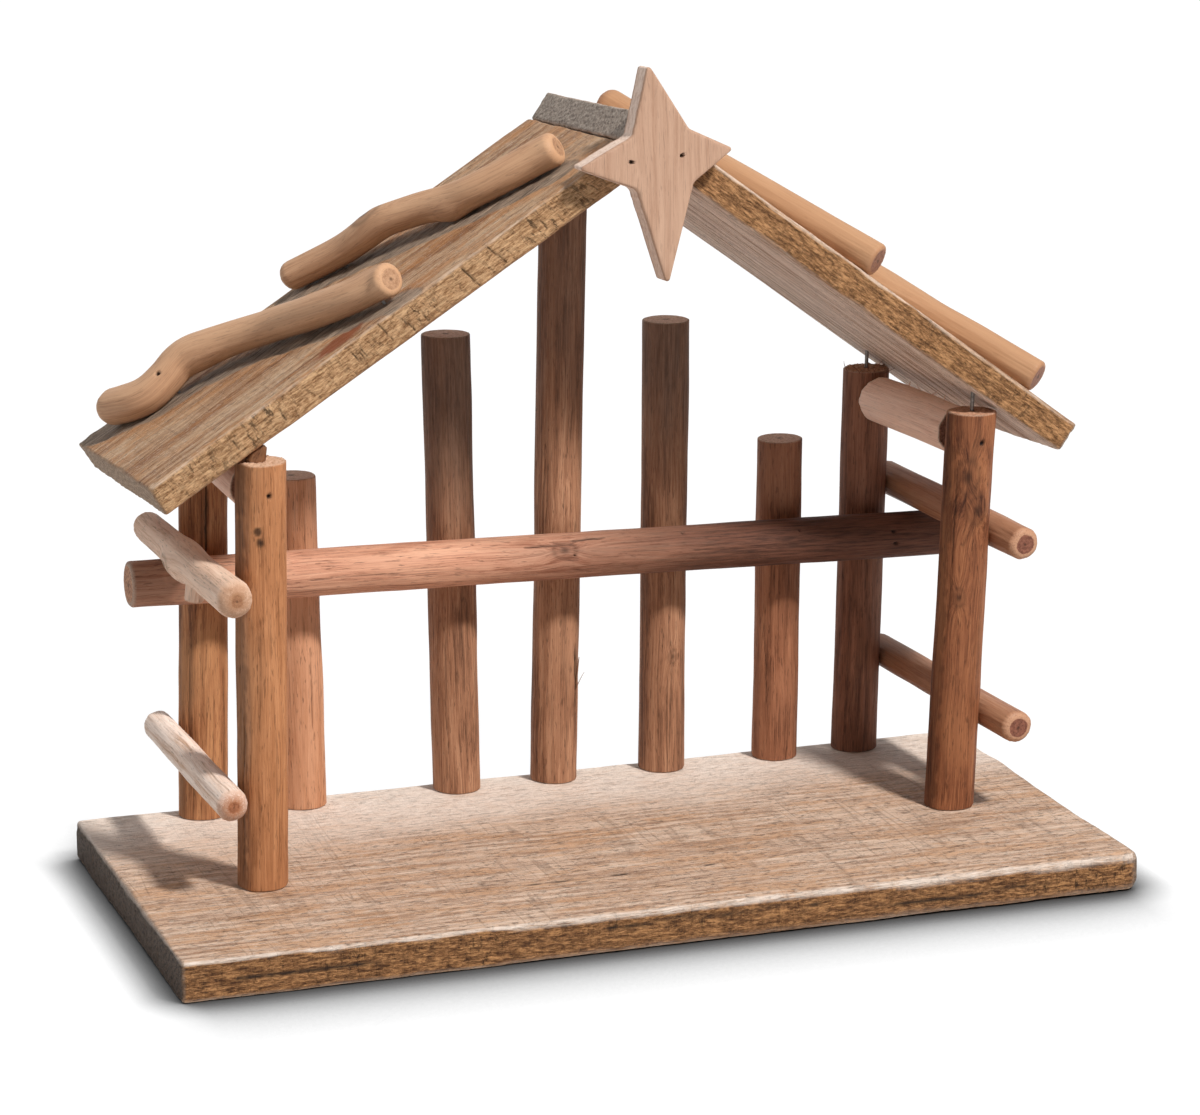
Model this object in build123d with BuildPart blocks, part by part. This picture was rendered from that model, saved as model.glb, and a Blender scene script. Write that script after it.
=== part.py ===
from build123d import *
import os
from math import acos, cos, radians, sin, tan

os.makedirs("parts", exist_ok=True)

# A rustic nativity stable: a plank base, peeled round posts and rails, two plank roof
# slopes with branches laid across them, and a sawn star on the ridge.
# Lengths are millimetres and angles degrees. X runs to the right, Y to the back and Z up,
# from the middle of the base board's underside.

# Base board
base_length = 400
base_depth = 186
base_thickness = 17
base_corner_radius = 4
base_edge_radius = 2.5

# Diameters of the round wood
post_diameter = 20
rail_diameter = 19.3
tie_diameter = 20
left_upper_side_diameter = 14.4
left_lower_side_diameter = 12.4
right_side_diameter = 13.6
branch_diameter = 13.6
sanded_end_radius = 2.2

# Where each corner post's axis stands on the base, in from the nearer end
left_post_inset = 52.6
back_right_post_inset = 52.6
front_right_post_inset = 47.8

# Where the rear row stands: the ridge post to the right of the middle, each outer picket in from
# its corner post, and each inner picket at a share of the way from the ridge post to the outer one
ridge_post_x = 7.3
far_left_picket_gap = 42.6
far_right_picket_gap = 37.8
left_picket_share = 0.38983
right_picket_share = 0.48387

# How far each upright leans to the right
front_left_lean = 0.85
back_left_lean = 1.3
far_left_lean = -0.8
left_lean = -0.9
ridge_lean = 1.1
right_lean = 0.4
far_right_lean = 0.4
back_right_lean = 1.1
front_right_lean = 2.2

# Rows of uprights: the rear row is flush with the base's back edge
bay_depth = 94.5
front_stagger = 2.9
inner_picket_length = 197.4
outer_picket_length = 142.2

# Rear rail, across the inner side of the rear row
rail_height = 103.2
rail_tilt = -1.1
rail_left_overhang = 26
rail_right_overhang = 24

# Tie logs between the tops of the front and back posts
left_tie_drop = 8.6
right_tie_drop = 10.3

# Side rails on the outer side of the posts
left_upper_standoff = 4
left_upper_front_overhang = 26.5
left_upper_back_overhang = 8.2
left_lower_height = 36.8
left_lower_tilt = -1.2
left_lower_front_overhang = 19
left_lower_back_overhang = 15
right_upper_clearance = 1.8
right_upper_tilt = 1.6
right_upper_front_overhang = 20
right_upper_back_overhang = 14
right_lower_height = 40.3
right_lower_tilt = 1
right_lower_front_overhang = 24.4
right_lower_back_overhang = 14

# Cut-off twig left on the left upper side rail
stub_diameter = 8
stub_reach = 13
stub_from_front = 55
stub_angle = 20

# Roof: the left board's top face meets the right board's underside on the ridge line
ridge_x = 6.4
ridge_rise = 287.9
ridge_setback = 0.7
ridge_lap = 1
roof_fall = 2.9
roof_back_overhang = 26
roof_thickness = 13.5
roof_arris_radius = 1.2
left_pitch = 31.9
right_pitch = 36.1
left_skew = 0.75
right_skew = -0.5
left_eave_overhang = 43.6
right_eave_overhang = 46.9

# Branches laid across the roof boards: length, angle to the slope, and place of one end
left_lower_branch_length = 151
left_lower_branch_angle = 44
left_lower_branch_eave_gap = 17.6
left_lower_branch_back_gap = 4
left_lower_branch_rise = 3.5
left_lower_branch_kink = 46
left_lower_branch_bend_radius = 300
left_upper_branch_length = 136
left_upper_branch_angle = 39
left_upper_branch_ridge_gap = 17.8
left_upper_branch_front_gap = 28.6
right_upper_branch_length = 141
right_lower_branch_length = 134
right_branch_angle = 41.3
right_branch_front_gap = 4
right_upper_branch_ridge_gap = 13.2
right_lower_branch_eave_gap = 25.3

# Star: four tapered arms around a narrow waist
star_thickness = 11.5
star_up = 37.5
star_down = 51
star_side = 32.5
star_waist_left = 9.3
star_waist_right = 14.7
star_waist_top = 10
star_waist_bottom = 11.2
star_tip_radius = 1
star_waist_radius = 4
star_turn = 4.5
star_x = 8.3
star_drop = 6.2
star_brad_reach = 10.5

# Fasteners
brad_diameter = 1.4
brad_recess = 2
brad_bite = 9
ridge_nail_bite = 18
pin_diameter = 1.6
pin_bite = 5
base_nail_diameter = 2.6
base_nail_bite = 16
base_nail_head_diameter = 6
base_nail_head_height = 1.2
base_nail_recess = 0.8
rail_brad_spread = 5
ridge_nail_inset = 30
branch_brad_lower_inset = 27
branch_brad_upper_inset = 52
left_lower_branch_brad_lower_inset = 35
left_lower_branch_brad_upper_inset = 9

# Room left between pieces that lean on each other, and around a fastener in its hole
touch = 0.1
hole_clearance = 0.05
hole_run_out = 5

floor_z = base_thickness
left_post_x = left_post_inset - base_length / 2
back_right_post_x = base_length / 2 - back_right_post_inset
front_right_post_x = base_length / 2 - front_right_post_inset
far_left_picket_x = left_post_x + far_left_picket_gap
far_right_picket_x = back_right_post_x - far_right_picket_gap
left_picket_x = ridge_post_x + (far_left_picket_x - ridge_post_x) * left_picket_share
right_picket_x = ridge_post_x + (far_right_picket_x - ridge_post_x) * right_picket_share
post_radius = post_diameter / 2
rail_radius = rail_diameter / 2
brad_radius = brad_diameter / 2
pin_radius = pin_diameter / 2
base_nail_radius = base_nail_diameter / 2
rear_row_y = base_depth / 2 - post_radius
front_row_y = rear_row_y - bay_depth
rail_y = rear_row_y - post_radius - rail_radius - touch

# Each upright's foot and lean
uprights = {
    "front_left_post": (Vector(left_post_x, front_row_y - front_stagger, floor_z), front_left_lean),
    "front_right_post": (Vector(front_right_post_x, front_row_y + front_stagger, floor_z), front_right_lean),
    "back_left_post": (Vector(left_post_x, rear_row_y, floor_z), back_left_lean),
    "back_right_post": (Vector(back_right_post_x, rear_row_y, floor_z), back_right_lean),
    "far_left_picket": (Vector(far_left_picket_x, rear_row_y, floor_z), far_left_lean),
    "left_picket": (Vector(left_picket_x, rear_row_y, floor_z), left_lean),
    "ridge_post": (Vector(ridge_post_x, rear_row_y, floor_z), ridge_lean),
    "right_picket": (Vector(right_picket_x, rear_row_y, floor_z), right_lean),
    "far_right_picket": (Vector(far_right_picket_x, rear_row_y, floor_z), far_right_lean),
}
rear_row = [name for name, (foot, lean) in uprights.items() if foot.Y == rear_row_y]


def lean_direction(name):
    """Direction of an upright's axis, one unit up."""
    return Vector(tan(radians(uprights[name][1])), 0, 1)


def axis_point(name, z):
    """Point of an upright's axis at a height above the table."""
    foot = uprights[name][0]
    return foot + lean_direction(name) * (z - foot.Z)


def rail_axis_z(x):
    """Height of the rear rail's axis."""
    return floor_z + rail_height + x * tan(radians(rail_tilt))


# Roof planes, all through the ridge line: local X down or up the slope, Y to the back, Z outwards
roof_depth = (bay_depth - ridge_setback + roof_back_overhang) / cos(radians(roof_fall))
left_roof_length = (ridge_x - left_post_x + left_eave_overhang) / cos(radians(left_pitch))
right_roof_length = (back_right_post_x - ridge_x + right_eave_overhang) / cos(radians(right_pitch))
ridge_front = (ridge_x, front_row_y + ridge_setback, floor_z + ridge_rise)
ridge_plane = Plane(Location(ridge_front, (-roof_fall, 0, 0)))
left_top = Plane(ridge_plane.location * Location((0, 0, 0), (0, -left_pitch, left_skew)))
left_under = left_top.offset(-roof_thickness)
right_under = Plane(ridge_plane.location * Location((0, 0, 0), (0, right_pitch, right_skew)))
right_top = right_under.offset(roof_thickness)


def seat_z(name, underside):
    """Height of an upright's flat top whose outer rim meets a sloping roof underside."""
    foot = uprights[name][0]
    normal = underside.z_dir
    rise = (underside.origin - foot).dot(normal) / lean_direction(name).dot(normal)
    steepness = tan(acos(normal.Z))
    return foot.Z + rise - post_radius * steepness - touch


tops = {name: floor_z + inner_picket_length for name in ("left_picket", "right_picket")}
tops.update({name: floor_z + outer_picket_length for name in ("far_left_picket", "far_right_picket")})
tops.update({name: seat_z(name, left_under) for name in ("front_left_post", "back_left_post", "ridge_post")})
tops.update({name: seat_z(name, right_under) for name in ("front_right_post", "back_right_post")})

# Tie log ends, on the line between the two posts' axes
tie_ends = {}
for side, drop in (("left", left_tie_drop), ("right", right_tie_drop)):
    tie_z = min(tops[f"front_{side}_post"], tops[f"back_{side}_post"]) - drop
    tie_front = axis_point(f"front_{side}_post", tie_z)
    tie_back = axis_point(f"back_{side}_post", tie_z)
    along = (tie_back - tie_front).normalized()
    tie_ends[side] = (tie_front + along * (post_radius + touch), tie_back - along * (post_radius + touch))


def side_rail_line(side, diameter, back_z, tilt, standoff):
    """Points where a side rail's axis passes the back and the front post."""
    outward = 1 if side == "right" else -1
    reach = outward * (post_radius + diameter / 2 + touch)
    front_z = back_z - bay_depth * tan(radians(tilt))
    at_back = axis_point(f"back_{side}_post", back_z) + Vector(reach + outward * standoff, 0, 0)
    at_front = axis_point(f"front_{side}_post", front_z) + Vector(reach, 0, 0)
    return at_back, at_front


# The upper side rails lie over the ends of the rear rail
left_upper_z = rail_axis_z(left_post_x - post_diameter) + rail_radius + left_upper_side_diameter / 2 + touch
right_upper_z = rail_axis_z(back_right_post_x) + rail_radius + right_side_diameter / 2 + right_upper_clearance

# Side rails: diameter, line past the posts, and overhang behind and in front of them
side_rails = {
    "left_upper_side_rail": (
        left_upper_side_diameter,
        side_rail_line("left", left_upper_side_diameter, left_upper_z, 0, left_upper_standoff),
        left_upper_back_overhang,
        left_upper_front_overhang,
    ),
    "left_lower_side_rail": (
        left_lower_side_diameter,
        side_rail_line("left", left_lower_side_diameter, floor_z + left_lower_height, left_lower_tilt, 0),
        left_lower_back_overhang,
        left_lower_front_overhang,
    ),
    "right_upper_side_rail": (
        right_side_diameter,
        side_rail_line("right", right_side_diameter, right_upper_z, right_upper_tilt, 0),
        right_upper_back_overhang,
        right_upper_front_overhang,
    ),
    "right_lower_side_rail": (
        right_side_diameter,
        side_rail_line("right", right_side_diameter, floor_z + right_lower_height, right_lower_tilt, 0),
        right_lower_back_overhang,
        right_lower_front_overhang,
    ),
}

# Branch axes in their board's plane: lower end, upper end
branch_lift = branch_diameter / 2 + touch
left_lower_run = Vector(left_lower_branch_length, 0, 0).rotate(Axis.Z, -left_lower_branch_angle)
left_upper_run = Vector(left_upper_branch_length, 0, 0).rotate(Axis.Z, -left_upper_branch_angle)
right_upper_run = Vector(right_upper_branch_length, 0, 0).rotate(Axis.Z, -right_branch_angle)
right_lower_run = Vector(right_lower_branch_length, 0, 0).rotate(Axis.Z, -right_branch_angle)
left_lower_start = Vector(
    left_lower_branch_eave_gap - left_roof_length, roof_depth - left_lower_branch_back_gap, branch_lift
)
left_upper_end = Vector(-left_upper_branch_ridge_gap, left_upper_branch_front_gap, branch_lift)
right_upper_end = Vector(
    right_upper_branch_ridge_gap + right_upper_run.X, right_branch_front_gap, branch_lift
)
right_lower_end = Vector(
    right_roof_length - right_lower_branch_eave_gap, right_branch_front_gap, branch_lift
)
branches = {
    "left_lower_branch": (left_top, left_lower_start, left_lower_start + left_lower_run),
    "left_upper_branch": (left_top, left_upper_end - left_upper_run, left_upper_end),
    "right_upper_branch": (right_top, right_upper_end - right_upper_run, right_upper_end),
    "right_lower_branch": (right_top, right_lower_end - right_lower_run, right_lower_end),
}

# Star plane: its back lies on the front edges of the roof boards, local X right and Y up
star_gap = max(star_side * sin(radians(left_skew)), -star_side * sin(radians(right_skew))) + touch
star_place = Location((star_x, -star_gap, -star_drop), (90, 0, 0)) * Location((0, 0, 0), (0, 0, star_turn))
star_back = Plane(ridge_plane.location * star_place)

# Fastener lines: each plane starts on the surface and its Z points into the wood
base_nail_lines = [Plane((foot.X, foot.Y, 0)) for foot, lean in uprights.values()]

rail_brad_lines = []
for name in rear_row:
    crossing = axis_point(name, rail_axis_z(uprights[name][0].X))
    rail_brad_lines.append(Plane((crossing.X, rail_y - rail_radius, crossing.Z), z_dir=(0, 1, 0)))
right_post_brad = rail_brad_lines[rear_row.index("back_right_post")]
rail_brad_lines.append(Plane(right_post_brad.origin - Vector(0, 0, rail_brad_spread), z_dir=(0, 1, 0)))

tie_brad_lines = []
for front_end, back_end in tie_ends.values():
    along = (back_end - front_end).normalized()
    tie_brad_lines.append(Plane(front_end - along * (post_diameter + touch), z_dir=along))
    tie_brad_lines.append(Plane(back_end + along * (post_diameter + touch), z_dir=-along))

side_brad_lines = {}
for name, (diameter, line, back_overhang, front_overhang) in side_rails.items():
    inward = Vector(1 if name.startswith("left") else -1, 0, 0)
    side_brad_lines[name] = [Plane(point - inward * (diameter / 2), z_dir=inward) for point in line]

# The left upper side rail is nailed down into the end of the rear rail instead of the back post
at_back, at_front = side_rails["left_upper_side_rail"][1]
over_rail = at_back + (at_front - at_back) * ((rear_row_y - rail_y) / (at_back.Y - at_front.Y))
rail_end_brad = Plane(over_rail + Vector(0, 0, left_upper_side_diameter / 2), z_dir=(0, 0, -1))
side_brad_lines["left_upper_side_rail"][0] = rail_end_brad

pin_seats = {name: axis_point(name, tops[name]) for name in uprights if "picket" not in name}
pin_lines = [Plane(seat - lean_direction(name) * pin_bite, z_dir=lean_direction(name))
             for name, seat in pin_seats.items()]

ridge_nail_x = roof_thickness / sin(radians(left_pitch + right_pitch)) / 2
ridge_nail_lines = [Plane(right_top.from_local_coords(Vector(ridge_nail_x, depth, 0)), z_dir=-right_top.z_dir)
                    for depth in (ridge_nail_inset, roof_depth - ridge_nail_inset)]

branch_brad_insets = dict.fromkeys(branches, (branch_brad_lower_inset, branch_brad_upper_inset))
branch_brad_insets["left_lower_branch"] = (
    left_lower_branch_brad_lower_inset,
    left_lower_branch_brad_upper_inset,
)
branch_brad_lines = {}
for name, (board, lower, upper) in branches.items():
    along = (upper - lower).normalized()
    lower_inset, upper_inset = branch_brad_insets[name]
    feet = (lower + along * lower_inset, upper - along * upper_inset)
    spots = [foot + Vector(0, 0, branch_diameter / 2) for foot in feet]
    branch_brad_lines[name] = [Plane(board.from_local_coords(spot), z_dir=-board.z_dir) for spot in spots]

star_front = star_back.offset(star_thickness)
star_brad_lines = [Plane(star_front.from_local_coords(Vector(reach, 0, 0)), z_dir=-star_front.z_dir)
                   for reach in (-star_brad_reach, star_brad_reach)]

# Fastener lengths: through the first piece and into the second
rail_brad_length = rail_diameter + brad_bite
tie_brad_length = post_diameter + brad_bite
ridge_nail_length = roof_thickness + ridge_nail_bite
branch_brad_length = branch_diameter + brad_bite
star_brad_length = star_thickness + brad_bite
base_nail_length = base_thickness + base_nail_bite


def drill(lines, radius, length):
    """Cut a row of round holes into the piece being made, open at the surface."""
    with Locations(*[line.offset(-hole_run_out) for line in lines]):
        Cylinder(
            radius + hole_clearance,
            length + hole_run_out + hole_clearance,
            align=(Align.CENTER, Align.CENTER, Align.MIN),
            mode=Mode.SUBTRACT,
        )


def drive(lines, radius, length):
    """Add a row of headless nails, set a little below the surface."""
    with Locations(*[line.offset(brad_recess) for line in lines]):
        Cylinder(radius, length - brad_recess, align=(Align.CENTER, Align.CENTER, Align.MIN))


def side_brad_length(name):
    """Length of the brads that hold one side rail."""
    return side_rails[name][0] + brad_bite


def pin_length(name, board):
    """Length of the pin from inside a post's top into a roof board."""
    normal = board.z_dir
    gap = (board.origin - pin_seats[name]).dot(normal) / lean_direction(name).dot(normal)
    return pin_bite + gap + pin_bite


left_pins = [name for name in pin_seats if name in ("front_left_post", "back_left_post", "ridge_post")]
pin_lengths = {name: pin_length(name, left_under if name in left_pins else right_under) for name in pin_seats}


def drill_pins(names):
    """Cut the blind pin holes of some uprights into the piece being made."""
    for name in names:
        line = pin_lines[list(pin_seats).index(name)]
        with Locations(line.offset(-hole_clearance)):
            Cylinder(
                pin_radius + hole_clearance,
                pin_lengths[name] + 2 * hole_clearance,
                align=(Align.CENTER, Align.CENTER, Align.MIN),
                mode=Mode.SUBTRACT,
            )


# Base board
with BuildPart() as base_board:
    with BuildSketch():
        RectangleRounded(base_length, base_depth, base_corner_radius)
    extrude(amount=base_thickness)
    fillet(base_board.faces().sort_by(Axis.Z)[-1].edges(), base_edge_radius)
    with Locations(*base_nail_lines):
        Cylinder(
            base_nail_head_diameter / 2 + hole_clearance,
            base_nail_recess + base_nail_head_height + hole_clearance,
            align=(Align.CENTER, Align.CENTER, Align.MIN),
            mode=Mode.SUBTRACT,
        )
    drill(base_nail_lines, base_nail_radius, base_nail_length)
base_board.part.label = "base_board"
export_step(base_board.part, "parts/base_board.step")

# Posts and pickets
for index, (name, (foot, lean)) in enumerate(uprights.items()):
    direction = lean_direction(name)
    with BuildPart() as upright:
        with BuildSketch(Plane(foot - direction * post_diameter, z_dir=direction)):
            Circle(post_radius)
        extrude(amount=tops[name] - floor_z + 2 * post_diameter)
        split(bisect_by=Plane.XY.offset(floor_z), keep=Keep.TOP)
        split(bisect_by=Plane.XY.offset(tops[name]), keep=Keep.BOTTOM)
        drill([base_nail_lines[index]], base_nail_radius, base_nail_length)
        if name in rear_row:
            drill([rail_brad_lines[rear_row.index(name)]], brad_radius, rail_brad_length)
        if name == "back_right_post":
            drill([rail_brad_lines[-1]], brad_radius, rail_brad_length)
        if name in pin_seats:
            drill_pins([name])
        for side in ("left", "right"):
            if name.endswith(f"{side}_post"):
                drill(tie_brad_lines, brad_radius, tie_brad_length)
                for rail_name in (f"{side}_upper_side_rail", f"{side}_lower_side_rail"):
                    drill(side_brad_lines[rail_name], brad_radius, side_brad_length(rail_name))
    upright.part.label = name
    export_step(upright.part, f"parts/{name}.step")

# Rear rail
rail_direction = Vector(1, 0, tan(radians(rail_tilt))).normalized()
left_post_at_rail = axis_point("back_left_post", rail_axis_z(left_post_x))
rail_left_x = left_post_at_rail.X - post_radius - rail_left_overhang
right_post_at_rail = axis_point("back_right_post", rail_axis_z(back_right_post_x))
rail_right_x = right_post_at_rail.X + post_radius + rail_right_overhang
with BuildPart() as rear_rail:
    with BuildSketch(Plane((rail_left_x, rail_y, rail_axis_z(rail_left_x)), z_dir=rail_direction)):
        Circle(rail_radius)
    extrude(amount=(rail_right_x - rail_left_x) / rail_direction.X)
    drill(rail_brad_lines, brad_radius, rail_brad_length)
    drill([rail_end_brad], brad_radius, side_brad_length("left_upper_side_rail"))
rear_rail.part.label = "rear_rail"
export_step(rear_rail.part, "parts/rear_rail.step")

# Tie logs
for side, (front_end, back_end) in tie_ends.items():
    with BuildPart() as tie:
        with BuildSketch(Plane(front_end, z_dir=back_end - front_end)):
            Circle(tie_diameter / 2)
        extrude(amount=(back_end - front_end).length)
        drill(tie_brad_lines, brad_radius, tie_brad_length)
    tie.part.label = f"{side}_tie"
    export_step(tie.part, f"parts/{side}_tie.step")

# Side rails, with sanded ends; the left upper one keeps the stub of a twig
for name, (diameter, (at_back, at_front), back_overhang, front_overhang) in side_rails.items():
    along = (at_front - at_back).normalized()
    back_end = at_back - along * back_overhang
    front_end = at_front + along * front_overhang
    with BuildPart() as side_rail:
        with BuildSketch(Plane(back_end, z_dir=along)):
            Circle(diameter / 2)
        extrude(amount=(front_end - back_end).length)
        fillet(side_rail.edges().filter_by(GeomType.CIRCLE), sanded_end_radius)
        if name == "left_upper_side_rail":
            twig = Vector(0, 0, -1).rotate(Axis.Y, stub_angle)
            with BuildSketch(Plane(front_end - along * stub_from_front, z_dir=twig)):
                Circle(stub_diameter / 2)
            extrude(amount=stub_reach)
        drill(side_brad_lines[name], brad_radius, side_brad_length(name))
    side_rail.part.label = name
    export_step(side_rail.part, f"parts/{name}.step")

# Left roof board, cut to the right board's underside at the ridge
with BuildPart() as left_roof_board:
    eave = left_top.from_local_coords(Vector(-left_roof_length, roof_depth / 2, -roof_thickness / 2))
    with BuildSketch(Plane(eave, x_dir=left_top.y_dir, z_dir=left_top.x_dir)):
        RectangleRounded(roof_depth, roof_thickness, roof_arris_radius)
    extrude(amount=left_roof_length + roof_thickness)
    split(bisect_by=right_under.offset(-touch), keep=Keep.BOTTOM)
    drill_pins(pin_seats)
    drill(ridge_nail_lines, brad_radius, ridge_nail_length)
    drill(star_brad_lines, brad_radius, star_brad_length)
    for branch_name in ("left_lower_branch", "left_upper_branch"):
        drill(branch_brad_lines[branch_name], brad_radius, branch_brad_length)
left_roof_board.part.label = "left_roof_board"
export_step(left_roof_board.part, "parts/left_roof_board.step")

# Right roof board, lapping over the left one
with BuildPart() as right_roof_board:
    head = right_under.from_local_coords(Vector(-ridge_lap, roof_depth / 2, roof_thickness / 2))
    with BuildSketch(Plane(head, x_dir=right_under.y_dir, z_dir=right_under.x_dir)):
        RectangleRounded(roof_depth, roof_thickness, roof_arris_radius)
    extrude(amount=ridge_lap + right_roof_length)
    drill_pins(pin_seats)
    drill(ridge_nail_lines, brad_radius, ridge_nail_length)
    drill(star_brad_lines, brad_radius, star_brad_length)
    for branch_name in ("right_upper_branch", "right_lower_branch"):
        drill(branch_brad_lines[branch_name], brad_radius, branch_brad_length)
right_roof_board.part.label = "right_roof_board"
export_step(right_roof_board.part, "parts/right_roof_board.step")

# Roof branches; the left lower one arches off its board
for name, (board, lower, upper) in branches.items():
    with BuildPart() as branch:
        ends = [board.from_local_coords(end) for end in (lower, upper)]
        with BuildLine() as path:
            if name == "left_lower_branch":
                kink = lower + (upper - lower).normalized() * left_lower_branch_kink
                crown = board.from_local_coords(kink + Vector(0, 0, left_lower_branch_rise))
                FilletPolyline(ends[0], crown, ends[1], radius=left_lower_branch_bend_radius)
            else:
                Line(*ends)
        with BuildSketch(Plane(path.line @ 0, z_dir=path.line % 0)):
            Circle(branch_diameter / 2)
        sweep(path=path.line)
        fillet(branch.edges().filter_by(GeomType.CIRCLE), sanded_end_radius)
        drill(branch_brad_lines[name], brad_radius, branch_brad_length)
    branch.part.label = name
    export_step(branch.part, f"parts/{name}.step")

# Star
with BuildPart() as star:
    with BuildSketch(star_back):
        with BuildLine():
            Polyline(
                (0, star_up),
                (star_waist_right, star_waist_top),
                (star_side, 0),
                (star_waist_right, -star_waist_bottom),
                (0, -star_down),
                (-star_waist_left, -star_waist_bottom),
                (-star_side, 0),
                (-star_waist_left, star_waist_top),
                close=True,
            )
        make_face()
        waist = vertices().sort_by_distance((0, 0))[:4]
        fillet(waist, star_waist_radius)
        tips = vertices().sort_by_distance((0, 0))[-4:]
        fillet(tips, star_tip_radius)
    extrude(amount=star_thickness)
    drill(star_brad_lines, brad_radius, star_brad_length)
star.part.label = "star"
export_step(star.part, "parts/star.step")

# Nails up through the base into the feet, their heads sunk below the underside
with BuildPart() as base_nails:
    with Locations(*[line.offset(base_nail_recess) for line in base_nail_lines]):
        Cylinder(
            base_nail_head_diameter / 2,
            base_nail_head_height,
            align=(Align.CENTER, Align.CENTER, Align.MIN),
        )
        Cylinder(
            base_nail_radius,
            base_nail_length - base_nail_recess,
            align=(Align.CENTER, Align.CENTER, Align.MIN),
        )
base_nails.part.label = "base_nails"
export_step(base_nails.part, "parts/base_nails.step")

with BuildPart() as rail_brads:
    drive(rail_brad_lines, brad_radius, rail_brad_length)
rail_brads.part.label = "rail_brads"
export_step(rail_brads.part, "parts/rail_brads.step")

with BuildPart() as tie_brads:
    drive(tie_brad_lines, brad_radius, tie_brad_length)
tie_brads.part.label = "tie_brads"
export_step(tie_brads.part, "parts/tie_brads.step")

with BuildPart() as side_rail_brads:
    for name, lines in side_brad_lines.items():
        drive(lines, brad_radius, side_brad_length(name))
side_rail_brads.part.label = "side_rail_brads"
export_step(side_rail_brads.part, "parts/side_rail_brads.step")

# Wire pins that bridge the wedge between each flat post top and the sloping roof
with BuildPart() as roof_pins:
    for line, name in zip(pin_lines, pin_seats):
        with Locations(line):
            Cylinder(pin_radius, pin_lengths[name], align=(Align.CENTER, Align.CENTER, Align.MIN))
roof_pins.part.label = "roof_pins"
export_step(roof_pins.part, "parts/roof_pins.step")

with BuildPart() as ridge_nails:
    drive(ridge_nail_lines, brad_radius, ridge_nail_length)
ridge_nails.part.label = "ridge_nails"
export_step(ridge_nails.part, "parts/ridge_nails.step")

with BuildPart() as branch_brads:
    for lines in branch_brad_lines.values():
        drive(lines, brad_radius, branch_brad_length)
branch_brads.part.label = "branch_brads"
export_step(branch_brads.part, "parts/branch_brads.step")

with BuildPart() as star_brads:
    drive(star_brad_lines, brad_radius, star_brad_length)
star_brads.part.label = "star_brads"
export_step(star_brads.part, "parts/star_brads.step")
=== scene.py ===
"""Looks of the wooden nativity stable, built round its CAD nodes (lengths here in millimetres)."""

import math
from collections import namedtuple

import bpy
import numpy as np
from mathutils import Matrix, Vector


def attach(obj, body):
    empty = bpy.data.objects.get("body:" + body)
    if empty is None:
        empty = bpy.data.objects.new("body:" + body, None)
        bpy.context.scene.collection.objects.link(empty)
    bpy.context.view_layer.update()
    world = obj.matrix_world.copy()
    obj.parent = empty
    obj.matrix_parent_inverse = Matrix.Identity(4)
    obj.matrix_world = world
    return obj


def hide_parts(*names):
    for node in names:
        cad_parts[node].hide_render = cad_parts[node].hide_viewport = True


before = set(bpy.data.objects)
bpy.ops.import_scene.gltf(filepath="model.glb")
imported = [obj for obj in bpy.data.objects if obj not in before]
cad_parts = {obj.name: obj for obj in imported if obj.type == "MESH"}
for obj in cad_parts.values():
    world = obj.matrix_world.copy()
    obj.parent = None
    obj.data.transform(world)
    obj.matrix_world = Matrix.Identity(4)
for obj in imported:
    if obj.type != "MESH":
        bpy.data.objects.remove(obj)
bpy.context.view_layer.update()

MM = 0.001
UP = np.array([0.0, 0.0, 1.0])
ACROSS = np.array([1.0, 0.0, 0.0])
BACK = np.array([0.0, 1.0, 0.0])

# Camera, its clip distance in metres
EYE = np.array([-523.18, -1479.62, 526.21])
LOOK = np.array([0.32305, 0.91493, -0.24199])
LENS, SENSOR, FAR = 120.0, 36.0, 100.0

# Light: place, size and strength of the key light, and the strength of the sky round the object
KEY_PLACE, KEY_AIM = np.array([410.0, -840.0, 1310.0]), np.array([0.0, 0.0, 120.0])
KEY_STRENGTH, KEY_SIZE = 3.75, 180.0
SKY_FRONT, SKY_BACK, SKY_LEFT = 0.05, 0.66, 0.37
SKY_TINT = (0.95, 0.985, 1.04, 1.0)
BACKDROP = (0.8, 0.8, 0.8, 1.0)

# Radii of the sticks, where they taper from their first end to the other
POST_RADII = TIE_RADII = (10.0, 10.0)
RAIL_RADII = (9.65, 9.65)
LEFT_UPPER_SIDE_RADII, LEFT_LOWER_SIDE_RADII, RIGHT_SIDE_RADII = (6.3, 7.4), (6.0, 6.3), (6.8, 6.8)
TWIG_RADIUS = 3.9
LEFT_LOWER_RADII = (7.6, 7.9, 7.6, 7.3, 7.1, 7.0, 6.9, 7.0, 7.1, 7.1, 6.8, 7.0)
LEFT_UPPER_RADII = (6.1, 6.3, 6.6, 6.8, 6.9, 7.0, 7.1)
RIGHT_UPPER_RADII, RIGHT_LOWER_RADII = (6.8, 6.8), (6.7, 6.7)

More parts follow.
